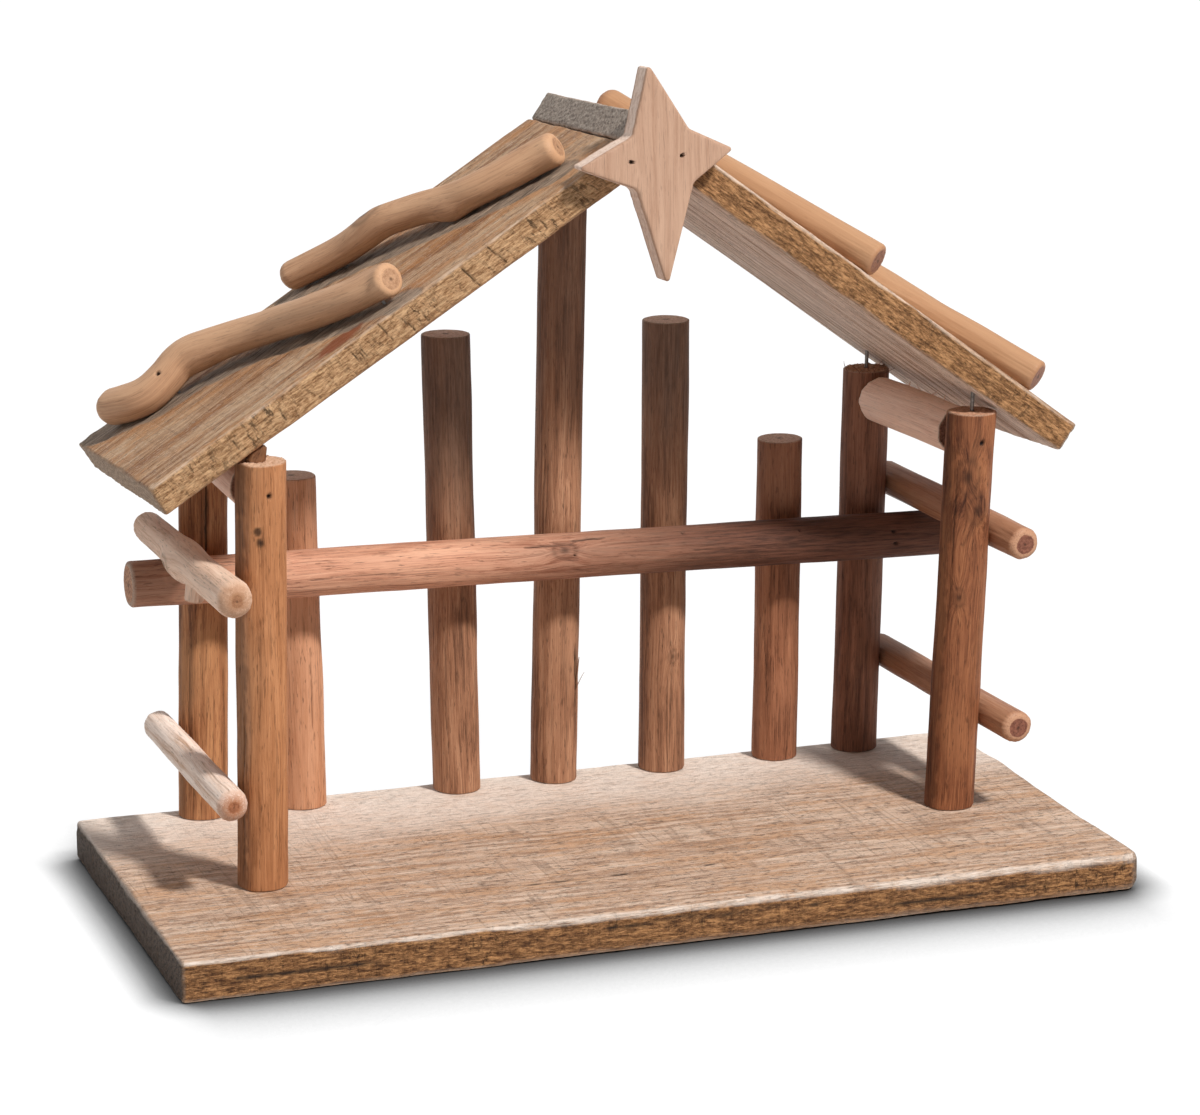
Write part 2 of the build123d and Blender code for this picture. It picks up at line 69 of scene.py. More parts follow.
# Centre lines of the left branches: mm up the slope from the eave, from the front edge, above the top face
LEFT_LOWER_SPINE = (
    (17.4, 107.5, 7.4), (21.0, 100.1, 7.2), (27.3, 92.3, 6.8), (33.4, 88.7, 7.1), (41.4, 87.3, 8.8),
    (48.7, 86.8, 11.0), (54.8, 84.8, 11.6), (61.6, 80.2, 10.8), (72.1, 72.2, 9.2), (80.6, 64.4, 8.0),
    (88.0, 55.2, 7.7), (99.0, 38.7, 7.7), (112.1, 22.9, 7.8), (121.5, 15.0, 8.1), (125.6, 8.6, 8.3))
LEFT_UPPER_SPINE = (
    (108, 113.7, 6.4), (129.8, 97, 6.8), (140.2, 87, 8.7), (150.1, 78, 10.6), (161.5, 68.5, 9.3),
    (172.8, 57.5, 7.4), (181.5, 48, 7.3), (193.8, 39.8, 7.2), (206.3, 32.8, 7.2), (214.8, 26.7, 7.2))

# Floor: reach and power of the painted contact shadow before the base and beside its ends, the places along
# the base between which one passes into the other, the white of the paper, and the floor's size in metres
PAINTED_SHADE_BEFORE, PAINTED_SHADE_BESIDE, BESIDE_FROM, BESIDE_TO = (50, 5.2), (19, 3.2), 192, 212
FLOOR_WHITE, FLOOR_SIZE = 0.985, 60.0

# Meshes: shares of the rings in a stick's end face, how far its rim takes part in the end's roughness,
# darkness of the pith and of the ring round it, and the shift of the grain from piece to piece
CAP_SHARES = np.array([0.93, 0.82, 0.7, 0.58, 0.46, 0.34, 0.22, 0.1])
RIM_SHARE = 0.8
PITH_DARK, PITH_RING_DARK = 0.7, 0.45
STICK_SHIFT, PLANK_SHIFT = 173.0, 211.0

# Width of the closer rows along a plank's edges, and the star's points round, rim and place in the grain
EDGE_BAND = 2.4
STAR_AROUND, STAR_RIM, STAR_GRAIN = 720, 1.2, (500.0, 14.0, 40.0)


def unit(v):
    return np.asarray(v, float) / np.linalg.norm(v)


def smooth(x, low, high):
    """0 below low, 1 above high, smooth between (also with low > high)."""
    t = np.clip((x - low) / (high - low), 0.0, 1.0)
    return t * t * (3 - 2 * t)


def bell(x):
    return np.exp(-(x ** 2))


def columns(*values):
    """Arrays of one shape as the columns of a table."""
    return np.stack(values, -1).reshape(-1, len(values))


def lattice_value(cell, seed):
    x, y, z = (cell[..., k].astype(np.int64) for k in range(3))
    n = (x * 374761393 + y * 668265263 + z * 1440662683 + seed * 974711) & 0xFFFFFFFF
    n = ((n ^ (n >> 13)) * 1274126177) & 0xFFFFFFFF
    return ((n ^ (n >> 16)) & 0xFFFF) / 32767.5 - 1.0


def noise(x, y=0.0, z=0.0, seed=0, octaves=1):
    """Smooth repeatable noise in about -1 to 1."""
    p = np.stack(np.broadcast_arrays(np.asarray(x, float), y, z), -1)
    total, size = 0.0, 1.0
    for octave in range(octaves):
        base = np.floor(p)
        f = p - base
        w = f * f * (3 - 2 * f)
        for corner in np.ndindex(2, 2, 2):
            c = np.array(corner)
            share = np.prod(np.where(c == 1, w, 1 - w), axis=-1)
            total = total + size * share * lattice_value(base + c, seed + 17 * octave)
        p, size = p * 2.03 + 11.7, size * 0.5
    return total


def node_points(node):
    """Vertices of a CAD node in millimetres."""
    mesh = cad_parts[node].data
    flat = np.empty(len(mesh.vertices) * 3)
    mesh.vertices.foreach_get("co", flat)
    return flat.reshape(-1, 3) / MM


def box_middle(points):
    return 0.5 * (points.min(0) + points.max(0))


def node_ends(node, rough):
    """Centres of the two end faces of a stick that runs roughly along the given direction."""
    points = node_points(node)
    t = points @ unit(rough)
    middle = 0.5 * (t.min() + t.max())
    low, high = points[t < middle].mean(0), points[t >= middle].mean(0)
    for reach in (3.0, 1.0, 0.3, 0.1):
        t = points @ unit(high - low)
        low, high = box_middle(points[t < t.min() + reach]), box_middle(points[t > t.max() - reach])
    return low, high


def level_ends(node, reach=0.02):
    """Centres of the level end faces of an upright."""
    points = node_points(node)
    z = points[:, 2]
    return box_middle(points[z < z.min() + reach]), box_middle(points[z > z.max() - reach])


def node_normal(node, rough):
    """Area-weighted mean normal of the faces of a CAD node that look roughly along a direction."""
    total = np.zeros(3)
    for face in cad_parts[node].data.polygons:
        n = np.array(face.normal)
        if n @ unit(rough) > 0.85:
            total += n * face.area
    return unit(total)


# A mesh's points and faces, and three vectors at each point: wood (place in the grain), wear
# (dark; worn, with a painted sheen on the base; grey, painted shade on the rail and pickets) and face (cut
# end, sawn edge, knot)
Shape = namedtuple("Shape", "points faces wood wear face")


def joined(*shapes):
    starts = np.cumsum([0] + [len(s.points) for s in shapes])
    faces = [tuple(k + int(start) for k in f) for s, start in zip(shapes, starts) for f in s.faces]
    values = zip(*((s.points, s.wood, s.wear, s.face) for s in shapes))
    points, wood, wear, face = (np.vstack(of_all) for of_all in values)
    return Shape(points, faces, wood, wear, face)


def piece(name, shape, material, slot, *nodes):
    """One object from a shape, riding the only body and standing in for its CAD nodes."""
    mesh = bpy.data.meshes.new(name)
    mesh.from_pydata((shape.points * MM).tolist(), [], shape.faces)
    for label in ("wood", "wear", "face"):
        layer = mesh.attributes.new(label, "FLOAT_VECTOR", "POINT")
        layer.data.foreach_set("vector", getattr(shape, label).astype(np.float32).ravel())
    mesh.polygons.foreach_set("use_smooth", [True] * len(mesh.polygons))
    mesh.materials.append(material)
    made = bpy.data.objects.new(name, mesh)
    bpy.context.scene.collection.objects.link(made)
    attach(made, "root")
    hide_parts(*nodes)
    return made


def tube_faces(n_rows, around, flip=False):
    """Faces of a tube of rings, closed by a middle point at each end: the two points after the last ring."""
    here = np.arange(n_rows * around).reshape(n_rows, around)
    there = np.roll(here, -1, axis=1)
    quads = np.stack([here[:-1], there[:-1], there[1:], here[1:]], -1).reshape(-1, 4)
    first, last = n_rows * around, n_rows * around + 1
    faces = [tuple(q) for q in quads.tolist()]
    faces += [(first, b, a) for a, b in zip(here[0].tolist(), there[0].tolist())]
    faces += [(last, a, b) for a, b in zip(here[-1].tolist(), there[-1].tolist())]
    return [f[:1] + f[:0:-1] for f in faces] if flip else faces


# Sticks

def wrap(angle):
    return (angle + math.pi) % (2 * math.pi) - math.pi


def crack_profile(off, u, width):
    """1 in the middle of a crack and 0 beside it. It narrows to its ends, where u is 0 and 1."""
    half = width * np.sqrt(np.maximum(np.sin(math.pi * u), 0.0)) + 1e-6
    return bell(off / half) * (u > 0) * (u < 1)


def stick_rows(length, rims, step):
    """Row positions along a stick, close together in the rounded rims."""
    q0, q1 = rims
    turn = np.linspace(0, math.pi / 2, 7)
    body = np.linspace(q0, length - q1, max(3, round((length - q0 - q1) / step)))
    start, finish = q0 * (1 - np.cos(turn))[:-1], length - q1 * (1 - np.cos(turn))[::-1][1:]
    return np.concatenate([start, body, finish])


def spine_rows(points, rows, step=1.5):
    """Places and directions at given shares of a smooth line through the points, and its length."""
    points = np.asarray(points, float)
    ends = np.vstack([2 * points[0] - points[1], points, 2 * points[-1] - points[-2]])
    fine = []
    for k in range(1, len(ends) - 2):
        t = np.linspace(0, 1, 60, endpoint=False)[:, None]
        p0, p1, p2, p3 = ends[k - 1:k + 3]
        fine.append(0.5 * (2 * p1 + (p2 - p0) * t + (2 * p0 - 5 * p1 + 4 * p2 - p3) * t**2
                           + (3 * p1 - p0 - 3 * p2 + p3) * t**3))
    fine = np.vstack(fine + [points[-1:]])
    gone = np.concatenate([[0], np.cumsum(np.linalg.norm(np.diff(fine, axis=0), axis=1))])

    def at(share):
        return np.stack([np.interp(share, gone, fine[:, k]) for k in range(3)], 1)

    share = np.asarray(rows) * gone[-1]
    course = at(np.minimum(share + step, gone[-1])) - at(np.maximum(share - step, 0))
    return at(share), course / np.linalg.norm(course, axis=1, keepdims=True), gone[-1]


class Skin:
    """Radius, wear and painted shade of a stick's side, by place and angle. Places are in mm from its start,
    or from its end if negative. Angles are in degrees round it: 0 faces the viewer, 90 is on the right of an
    upright stick and below a lying one."""

    def __init__(self, spine, radii, seed, rims, step, around):
        self.seed, self.length = seed, spine_rows(spine, [0.0])[2]
        turn = np.linspace(0, 2 * math.pi, around, endpoint=False)
        self.s, self.t = np.meshgrid(stick_rows(self.length, rims, step), turn, indexing="ij")
        self.r = np.interp(self.s / self.length, np.linspace(0, 1, len(radii)), radii)
        self.dark, self.worn, self.grey, self.bend = np.zeros((4, *self.s.shape))

    def place(self, v):
        return v if v >= 0 else self.length + v

    def along(self, at):
        return self.s - self.place(at)

    def across(self, angle):
        return self.r * wrap(self.t - math.radians(angle))

    def noise(self, along, across, seed, octaves):
        """Noise that closes round the stick."""
        cos_t, sin_t = np.cos(self.t), np.sin(self.t)
        return noise(self.s * along, across * cos_t, across * sin_t, self.seed + seed, octaves)

    def swell(self, at, width, height):
        self.r = self.r + height * bell(self.along(at) / width)

    def grow(self, oval, lumps, fibre):
        """An oval section, slow lumps and fine lengthwise fibres."""
        self.r = self.r * (1 + oval * np.cos(2 * self.t + self.seed))
        self.r = self.r + lumps * self.noise(0.022, 1.1, 0, 3)
        self.r = self.r + fibre * self.noise(0.03, 7.0, 5, 3)

    def facet(self, angle, depth, low, high, ease=6):
        """A hewn flat."""
        turn = np.cos(wrap(self.t - math.radians(angle)))
        cut = depth * (1 + 0.4 * noise(self.s * 0.03, seed=self.seed + 9))
        flat = (np.median(self.r) - cut) / np.maximum(turn, 0.2)
        low, high = self.place(low), self.place(high)
        window = smooth(self.s, low - ease, low + ease) * smooth(self.s, high + ease, high - ease)
        self.r = self.r + window * np.minimum(0.0, flat - self.r)

    def knot(self, at, angle, size, height):
        """A raised knot, longer than wide, with a dark core and ring and the grain bent round it."""
        aside = self.across(angle)
        d = np.hypot(self.along(at) / 1.5, aside) / size
        self.r = self.r + height * bell(d) - 0.35 * height * bell(d / 0.35)
        self.dark = np.maximum(self.dark, 0.75 * bell(d / 0.4) + 0.35 * bell((d - 0.85) / 0.2))
        self.bend = self.bend + 0.8 * size * np.sign(aside) * bell(d / 1.6)

    def bump(self, at, angle, long, wide, height):
        self.r = self.r + height * np.exp(-(self.along(at) / long) ** 2 - (self.across(angle) / wide) ** 2)

    def weather(self, low, high, amount):
        """Painted shade: grey that sets in between two places, darkening the part of a stick that lies in the
        roof's shadow.
        """
        ragged = self.s + 9 * self.noise(0.03, 2, 61, 2)
        self.grey = np.maximum(self.grey, amount * smooth(ragged, self.place(low), self.place(high)))

    def crack(self, low, high, angle, width, depth):
        low, high = self.place(low), self.place(high)
        line = (math.radians(angle) + 0.10 * noise(self.s * 0.05, seed=self.seed + round(angle))
                + 0.02 * noise(self.s * 0.4, seed=self.seed + 3))
        u = np.clip((self.s - low) / (high - low), 0, 1)
        inside = crack_profile(self.r * wrap(self.t - line), u, width)
        self.r = self.r - depth * inside
        self.dark = np.maximum(self.dark, inside * min(1.0, depth / 0.6))

    def hole(self, at, angle, size, depth=1.6):
        d = np.hypot(self.along(at), self.across(angle))
        inside = smooth(d, size * 1.25, size * 0.7)
        self.r = self.r - depth * inside
        self.dark = np.maximum(self.dark, inside)

    def stain(self, at, angle, long, wide, amount):
        d = np.hypot(self.along(at) / long, self.across(angle) / wide)
        spot = amount * smooth(d + 0.35 * self.noise(0.3, 3, 31, 2), 1.2, 0.5)
        self.dark = np.maximum(self.dark, spot)

    def round_ends(self, rims):
        """Rounded and worn rims at both ends."""
        for rim, gone in zip(rims, (self.s, self.length - self.s)):
            near = np.clip(rim - gone, 0, rim)
            self.r = self.r - (rim - np.sqrt(np.maximum(rim * rim - near**2, 0)))
            self.worn = np.maximum(self.worn, min(0.9, 0.3 * rim + 0.2) * near / rim)


MARKS = {"facets": Skin.facet, "knots": Skin.knot, "bumps": Skin.bump, "weather": Skin.weather,
         "cracks": Skin.crack, "holes": Skin.hole, "stains": Skin.stain}


def stick_shape(skin, spine, torn, ease):
    """Mesh of a stick: its side, and in each end face rings and a middle. With ease, the ends are level."""
    n_cap, around = len(CAP_SHARES), skin.r.shape[1]
    ring0, ring1 = skin.r[0] * CAP_SHARES[::-1, None], skin.r[-1] * CAP_SHARES[:, None]
    r = np.vstack([ring0, skin.r, ring1])
    s = np.vstack([np.zeros_like(ring0), skin.s, np.full_like(ring1, skin.length)])
    u, v = r * np.cos(skin.t[0]), r * np.sin(skin.t[0])
    cap = np.zeros_like(r)
    cap[:n_cap], cap[-n_cap:] = 1, 1
    cap[n_cap], cap[-n_cap - 1] = RIM_SHARE, RIM_SHARE
    tear = np.where(s < 0.5 * skin.length, torn[0], torn[1])
    lift = tear * noise(u * 0.9, v * 0.9, s, skin.seed + 41, 3) * cap
    middle, axis, _ = spine_rows(spine, s[:, 0] / skin.length)
    e1 = -LOOK + (axis @ LOOK)[:, None] * axis
    e1 = e1 / np.linalg.norm(e1, axis=1, keepdims=True)
    e2 = np.cross(axis, e1)
    if ease:
        slant = np.exp(-s / ease) + np.exp(-(skin.length - s) / ease)
        lift = lift - slant * (u * e1[:, 2:] + v * e2[:, 2:]) / axis[:, 2:]
    points = middle[:, None] + lift[..., None] * axis[:, None]
    points = points + u[..., None] * e1[:, None] + v[..., None] * e2[:, None]

    def padded(values):
        edge = np.zeros((n_cap, around))
        return np.vstack([edge, values, edge])

    marked, zero, shift = padded(skin.dark), np.zeros_like(cap), STICK_SHIFT * skin.seed
    marked[0], marked[-1] = PITH_RING_DARK, PITH_RING_DARK
    middles = [points[0].mean(0), points[-1].mean(0)]
    wood = columns(s + shift, u, v + padded(skin.bend))
    wood = np.vstack([wood, [[shift, 0, 0], [shift + skin.length, 0, 0]]])
    wear = np.vstack([columns(marked, padded(skin.worn), padded(skin.grey)), [[PITH_DARK, 0, 0]] * 2])
    face = np.vstack([columns(cap, zero, zero), [[1, 0, 0]] * 2])
    return Shape(np.vstack([points.reshape(-1, 3), middles]), tube_faces(len(r), around), wood, wear, face)


def stick(spine, radii, seed, rims=(0.6, 0.6), level=False, oval=0.02, lumps=0.25, fibre=0.12, swell=(),
          torn=(0.1, 0.1), around=112, step=0.85, **marks):
    """A round stick along a spine, with the marks that Skin can draw."""
    skin = Skin(spine, radii, seed, rims, step, around)
    for spot in swell:
        skin.swell(*spot)
    skin.grow(oval, lumps, fibre)
    for kind, draw in MARKS.items():
        for mark in marks.get(kind, ()):
            draw(skin, *mark)
    skin.round_ends(rims)
    return stick_shape(skin, spine, torn, 2 * radii[0] if level else None)


# Planks

def axis_steps(low, high, step, rim):
    inner = np.linspace(low + rim, high - rim, max(2, round((high - low - 2 * rim) / step)))
    edge = np.array([0.0, 0.12, 0.3, 0.55, 0.8]) * rim
    return np.concatenate([low + edge, inner, high - edge[::-1]])


def slab_grid(xs, ys, zs):
    """Points and outward quads of the surface of a box lattice."""
    size = (len(xs), len(ys), len(zs))
    on = np.ones(size, bool)
    on[1:-1, 1:-1, 1:-1] = False
    index = np.full(size, -1)
    index[on] = np.arange(on.sum())
    i, j, k = np.nonzero(on)
    points = np.stack([xs[i], ys[j], zs[k]], 1)
    quads = []
    for side, flip in ((index[:, :, 0], True), (index[:, :, -1], False), (index[:, 0, :], False),
                       (index[:, -1, :], True), (index[0], True), (index[-1], False)):
        q = np.stack([side[:-1, :-1], side[1:, :-1], side[1:, 1:], side[:-1, 1:]], -1).reshape(-1, 4)
        quads.append(q[:, ::-1] if flip else q)
    return points, np.vstack(quads)


def slab(axes, low, high, seed, step, rim, shape_edge, dents, masks, pith, end=None):
    """A plank in its own frame: rim(p) gives the edge radius, shape_edge(p, n) moves the surface along
    its normal, dents(p, n) gives (depth, dark), masks(p, n) gives (worn, grey, knot)."""
    xs, ys, zs = (axis_steps(low[k], high[k], step[k], EDGE_BAND) for k in range(3))
    p, quads = slab_grid(xs, ys, zs)
    radius = rim(p)
    middle = np.clip(p, low + radius[:, None], high - radius[:, None])
    out = p - middle
    n = out / np.maximum(np.linalg.norm(out, axis=1, keepdims=True), 1e-9)
    p = middle + n * radius[:, None]
    depth, dark = dents(p, n)
    worn, grey, knot = masks(p, n)
    p = p + n * (shape_edge(p, n) - depth)[:, None]
    wood = p + np.array([PLANK_SHIFT * seed, pith[0], pith[1]])
    if end is not None:
        p[:, 0] = low[0] + (p[:, 0] - low[0]) * (end(p) - low[0]) / (high[0] - low[0])
    face = columns(np.abs(n[:, 0]) ** 1.6, np.abs(n[:, 1]) ** 3, knot)
    faces = [tuple(q) for q in quads.tolist()]
    return Shape(p @ np.stack(axes), faces, wood, columns(dark, worn, grey), face)


def slits(p, n, spots, seed):
    """Cracks along a plank: (x from, x to, y on the top or z on the front, half width, depth, face)."""
    depth, dark = np.zeros((2, len(p)))
    sides = {"top": (2, 1, 1), "front": (1, -1, 2)}
    for x0, x1, across, width, deep, side in spots:
        k, sign, other = sides[side]
        x = p[:, 0]
        line = across + 0.9 * noise(x * 0.05, across, seed=seed) + 0.25 * noise(x * 0.4, across, seed=seed)
        inside = crack_profile(p[:, other] - line, np.clip((x - x0) / (x1 - x0), 0, 1), width)
        inside = inside * (n[:, k] * sign > 0.5)
        depth, dark = np.maximum(depth, deep * inside), np.maximum(dark, inside)
    return depth, dark


def edge_checks(p, n, spots, seed):
    """Cracks across a plank's front edge: (x, z low, z high, half width, depth) from its low corner."""
    depth, dark = np.zeros((2, len(p)))
    on = smooth(-n[:, 1], 0.3, 0.8)
    for x, low, high, width, deep in spots:
        z = p[:, 2]
        line = x + 0.8 * noise(z * 0.3, x, seed=seed) + 0.3 * noise(z * 1.1, x, seed=seed)
        inside = on * crack_profile(p[:, 0] - line, np.clip((z - low) / (high - low), 0, 1), width)
        depth, dark = np.maximum(depth, deep * inside), np.maximum(dark, 0.9 * inside)
    return depth, dark


# Materials

def srgb(colour, share=1.0):
    """Linear colour from 0-255 values, made darker or lighter by a share."""
    scaled = [share * c for c in colour]
    return (*(v / 3294.6 if v <= 10.3 else ((v / 255 + 0.055) / 1.055) ** 2.4 for v in scaled), 1.0)


class Nodes:
    """The node tree of a material, world or lamp, with short ways to add nodes."""

    def __init__(self, owner):
        owner.use_nodes = True
        self.owner, self.tree = owner, owner.node_tree

    def add(self, kind, inputs, out=0, **settings):
        made = self.tree.nodes.new("ShaderNode" + kind)
        for key, value in settings.items():
            setattr(made, key, value)
        for key, value in inputs.items():
            self.join(value, made.inputs[key])
        return made.outputs[out]

    def feed(self, node, inputs):
        """Sets or links inputs of a node that the tree has from the start."""
        for key, value in inputs.items():
            self.join(value, self.tree.nodes[node].inputs[key])

    def join(self, value, socket):
        if isinstance(value, bpy.types.NodeSocket):
            self.tree.links.new(value, socket)
        else:
            socket.default_value = value

    def attribute(self, name):
        return self.add("Attribute", {}, "Vector", attribute_name=name)

    def parts(self, vector):
        made = self.tree.nodes.new("ShaderNodeSeparateXYZ")
        self.tree.links.new(vector, made.inputs[0])
        return made.outputs

    def stretch(self, vector, by):
        return self.add("VectorMath", {0: vector, 1: by}, operation="MULTIPLY")

    def noise(self, vector, by, detail=2.0, rough=0.55, out=0):
        """Noise with by cycles per unit along, across and, where that differs, up."""
        place = self.stretch(vector, (*by, by[1])[:3])
        values = {"Vector": place, "Scale": 1.0, "Detail": detail, "Roughness": rough}
        return self.add("TexNoise", values, out)

    def near_half(self, value, width):
        """Thin lines where a noise passes one half."""
        return self.band(self.math("ABSOLUTE", self.math("SUBTRACT", value, 0.5)), width, 0.0)

    def math(self, operation, a, b=0.0):
        return self.add("Math", {0: a, 1: b}, operation=operation)

    def total(self, *terms):
        """Sum of values times weights."""
        whole, *others = (self.math("MULTIPLY", value, weight) for value, weight in terms)
        for other in others:
            whole = self.math("ADD", whole, other)
        return whole

    def band(self, value, low, high, start=0.0, finish=1.0):
        return self.add("MapRange", {"Value": value, "From Min": low, "From Max": high,
                                     "To Min": start, "To Max": finish})

    def ramp(self, value, *stops):
        made = self.tree.nodes.new("ShaderNodeValToRGB")
        ramp = made.color_ramp
        while len(ramp.elements) < len(stops):
            ramp.elements.new(0.5)
        for element, (at, colour) in zip(ramp.elements, stops):
            element.position, element.color = at, colour
        self.tree.links.new(value, made.inputs[0])
        return made.outputs[0]

    def mix(self, share, a, b):
        return self.add("Mix", {0: share, 6: a, 7: b}, 2, data_type="RGBA")

    def background_rays(self):
        """1 for the rays that show the background: seen, reflected or let through."""
        rays = self.tree.nodes.new("ShaderNodeLightPath").outputs
        seen = self.math("MAXIMUM", rays["Is Camera Ray"], rays["Is Glossy Ray"])
        return self.math("MAXIMUM", seen, rays["Is Transmission Ray"])


class Coat(Nodes):
    """A wood material with its colour and height so far, to which marks are added."""

    def __init__(self, name, short, fine):
        super().__init__(bpy.data.materials.new(name))
        self.short, self.fine = short, fine
        self.at = self.attribute("wood")
        wander = self.noise(self.at, (0.014, 0.06), 3.0, 0.5, 1)
        drift = self.add("VectorMath", {0: wander, 1: (0.5, 0.5, 0.5)}, operation="SUBTRACT")
        self.grain = self.add("VectorMath", {0: self.stretch(drift, (0.0, 5.0, 5.0)), 1: self.at})
        self.colour = self.height = None

    def streaks(self, along, across, detail, rough=0.55):
        """Noise along the grain, made shorter or finer as the wood asks."""
        return self.noise(self.grain, (along * self.short, across * self.fine), detail, rough)

    def paint(self, mask, share, colour):
        self.colour = self.mix(self.math("MULTIPLY", mask, share), self.colour, colour)

    def raise_by(self, mask, rise):
        self.height = self.math("ADD", self.height, self.math("MULTIPLY", mask, rise))

    def mark(self, mask, share, colour, rise):
        self.paint(mask, share, colour)
        self.raise_by(mask, rise)


def grain_body(g, pale, mid, deep, ring, spread, grit, blush):
    """Streaks, growth rings, shreds and paler or warmer patches."""
    broad = g.streaks(0.009, 0.30, 4.0, 0.6)
    g.fibre = g.streaks(0.030, 2.1, 6.0, 0.7)
    flat = g.stretch(g.grain, (0.0, 1.0, 1.0))
    distance = g.add("VectorMath", {0: flat}, "Value", operation="LENGTH")
    turns = g.math("ADD", distance, g.math("MULTIPLY", broad, 1.6))
    waves = g.math("SINE", g.math("MULTIPLY", turns, 2 * math.pi / ring))
    g.rings = g.band(waves, -1.0, 1.0)
    shreds = g.noise(g.at, (0.24, 3.0), 8.0, 0.8)
    share = 0.5 * (0.94 - grit)
    tone = g.total((broad, share), (g.fibre, share), (g.rings, 0.06), (shreds, grit))
    g.colour = g.ramp(tone, (0.5 - spread, srgb(deep)), (0.5, srgb(mid)), (0.5 + spread, srgb(pale)))
    g.paint(g.band(g.noise(g.at, (0.02, 0.05), 3.0), 0.5, 0.66), 0.45, srgb(pale))
    if blush:
        g.paint(g.band(g.noise(g.at, (0.022, 0.11), 4.0, 0.65), 0.49, 0.60), 0.6, srgb(blush))
    g.height = g.total((g.fibre, 0.7), (shreds, 3.0 * grit))


def small_marks(g, deep, lines, pores, pits, flecks, saw):
    """Thin long lines, short pores, torn pits and flecks, and marks of the saw."""
    at, shade = g.at, srgb(deep, 0.42)
    g.mark(g.band(g.streaks(0.012, 1.5, 2.0), 0.60, 0.68), lines, srgb(deep, 0.62), -0.35)
    g.mark(g.band(g.noise(g.grain, (0.17, 1.5)), 0.60, 0.68), pores, shade, -0.5)
    if pits:
        g.mark(g.band(g.noise(at, (0.26, 0.95), 5.0, 0.7), 0.57, 0.62), pits, shade, -0.9)
    if flecks:
        torn_up = g.band(g.noise(at, (0.34, 1.2), 5.0, 0.7), 0.57, 0.63)
        g.mark(torn_up, flecks, srgb((238, 222, 206)), 0.7)
    if saw:
        cut = g.near_half(g.noise(at, (0.11, 0.005, 0.02), 1.0, 0.5), 0.018)
        where = g.band(g.noise(at, (0.02, 0.05), 3.0, 0.65), 0.36, 0.6)
        g.mark(g.math("MULTIPLY", cut, where), saw, srgb(deep, 0.72), -0.5)


def sawn_edge(g, edges, colours, slit, check):
    """The rough long edges of a plank, with splits and torn-out places."""
    at = g.at
    pale, mid, deep = (srgb(c) for c in colours)
    torn = g.noise(g.grain, (0.15, 0.85), 8.0, 0.76)
    crumb = g.noise(at, (0.42, 1.5), 6.0, 0.72)
    mixed = g.total((torn, 0.62), (crumb, 0.38))
    raw = g.ramp(mixed, (0.42, deep), (0.50, mid), (0.58, pale))
    split = g.near_half(g.noise(at, (0.055, 0.32), 3.0, 0.6), 0.022)
    some = g.band(g.noise(at, (0.035, 0.02)), 0.45, 0.62)
    pit = g.math("MULTIPLY", g.band(g.noise(at, (0.42, 0.16), 4.0, 0.75), 0.55, 0.61), some)
    stroke = g.near_half(g.noise(at, (0.2, 0.03, 0.05), 3.0, 0.6), 0.022)
    stroke = g.math("MULTIPLY", stroke, g.band(torn, 0.62, 0.42))
    pit = g.math("MAXIMUM", pit, g.math("MULTIPLY", stroke, 0.7))
    broken = g.math("MAXIMUM", g.math("MULTIPLY", split, slit), g.math("MULTIPLY", pit, check))
    raw = g.mix(broken, raw, srgb(colours[2], 0.38))
    g.colour = g.mix(edges, g.colour, raw)
    g.raise_by(g.total((mixed, 3.2), (broken, -1.2)), edges)


# Grey with a rugged ramp where the grey mask is set: painted shade on the rear rail and pickets, and grey
# strips on the left roof board.
def weathering(g, weather, grey):
    rugged = g.noise(g.at, (0.06, 1.1), 7.0, 0.76)
    old = g.ramp(rugged, (0.40, srgb(grey, 0.7)), (0.51, srgb(grey)), (0.62, srgb(grey, 1.15)))
    g.colour = g.mix(weather, g.colour, old)
    g.raise_by(g.math("MULTIPLY", rugged, weather), 2.0)


def cut_ends(g, ends, pale, deep):
    specks = g.noise(g.at, (0.9, 0.9), 5.0, 0.75)
    tone = g.total((g.rings, 0.05), (specks, 0.95))
    g.colour = g.mix(ends, g.colour, g.ramp(tone, (0.38, srgb(deep)), (0.60, srgb(pale))))


def finish(g, rough, relief):
    smooth_at, rough_at = rough
    bump = g.add("Bump", {"Strength": 0.7, "Distance": relief * MM, "Height": g.height})
    sheen = g.band(g.fibre, 0.38, 0.62, rough_at, smooth_at)
    g.feed("Principled BSDF", {"Base Color": g.colour, "Roughness": sheen, "Normal": bump,
                               "Specular IOR Level": 0.2})
    return g.owner


def wood(name, pale, mid, deep, end, end_dark, edge=None, grey=(150, 135, 122), worn=(222, 196, 172),
         knot=(150, 84, 52), ring=2.4, pores=0.45, lines=0.4, saw=0.0, slit=0.0, check=0.0, rough=(0.55, 0.8),
         relief=0.22, fine=1.0, spread=0.09, grit=0.16, pits=0.0, flecks=0.0, short=1.0, blush=None):
    """Wood with lengthwise streaks, growth rings, pores, sawn ends and edges, and the masks of wear and
    painted light.
    """
    g = Coat(name, short, fine)
    # bright: worn rims and corners, and a painted sheen at the back of the base; the grey mask: painted shade
    # on the rear rail and pickets, grey strips on the left roof board.
    dark, bright, weather = g.parts(g.attribute("wear"))
    ends, edges, knots = g.parts(g.attribute("face"))
    grain_body(g, pale, mid, deep, ring, spread, grit, blush)
    small_marks(g, deep, lines, pores, pits, flecks, saw)
    if edge:
        sawn_edge(g, edges, edge, slit, check)
    weathering(g, weather, grey)
    g.colour = g.mix(knots, g.colour, srgb(knot))
    cut_ends(g, ends, end, end_dark)
    g.paint(bright, g.band(g.fibre, 0.30, 0.52), srgb(worn))
    g.colour = g.mix(dark, g.colour, srgb(deep, 0.30))
    return finish(g, rough, relief)


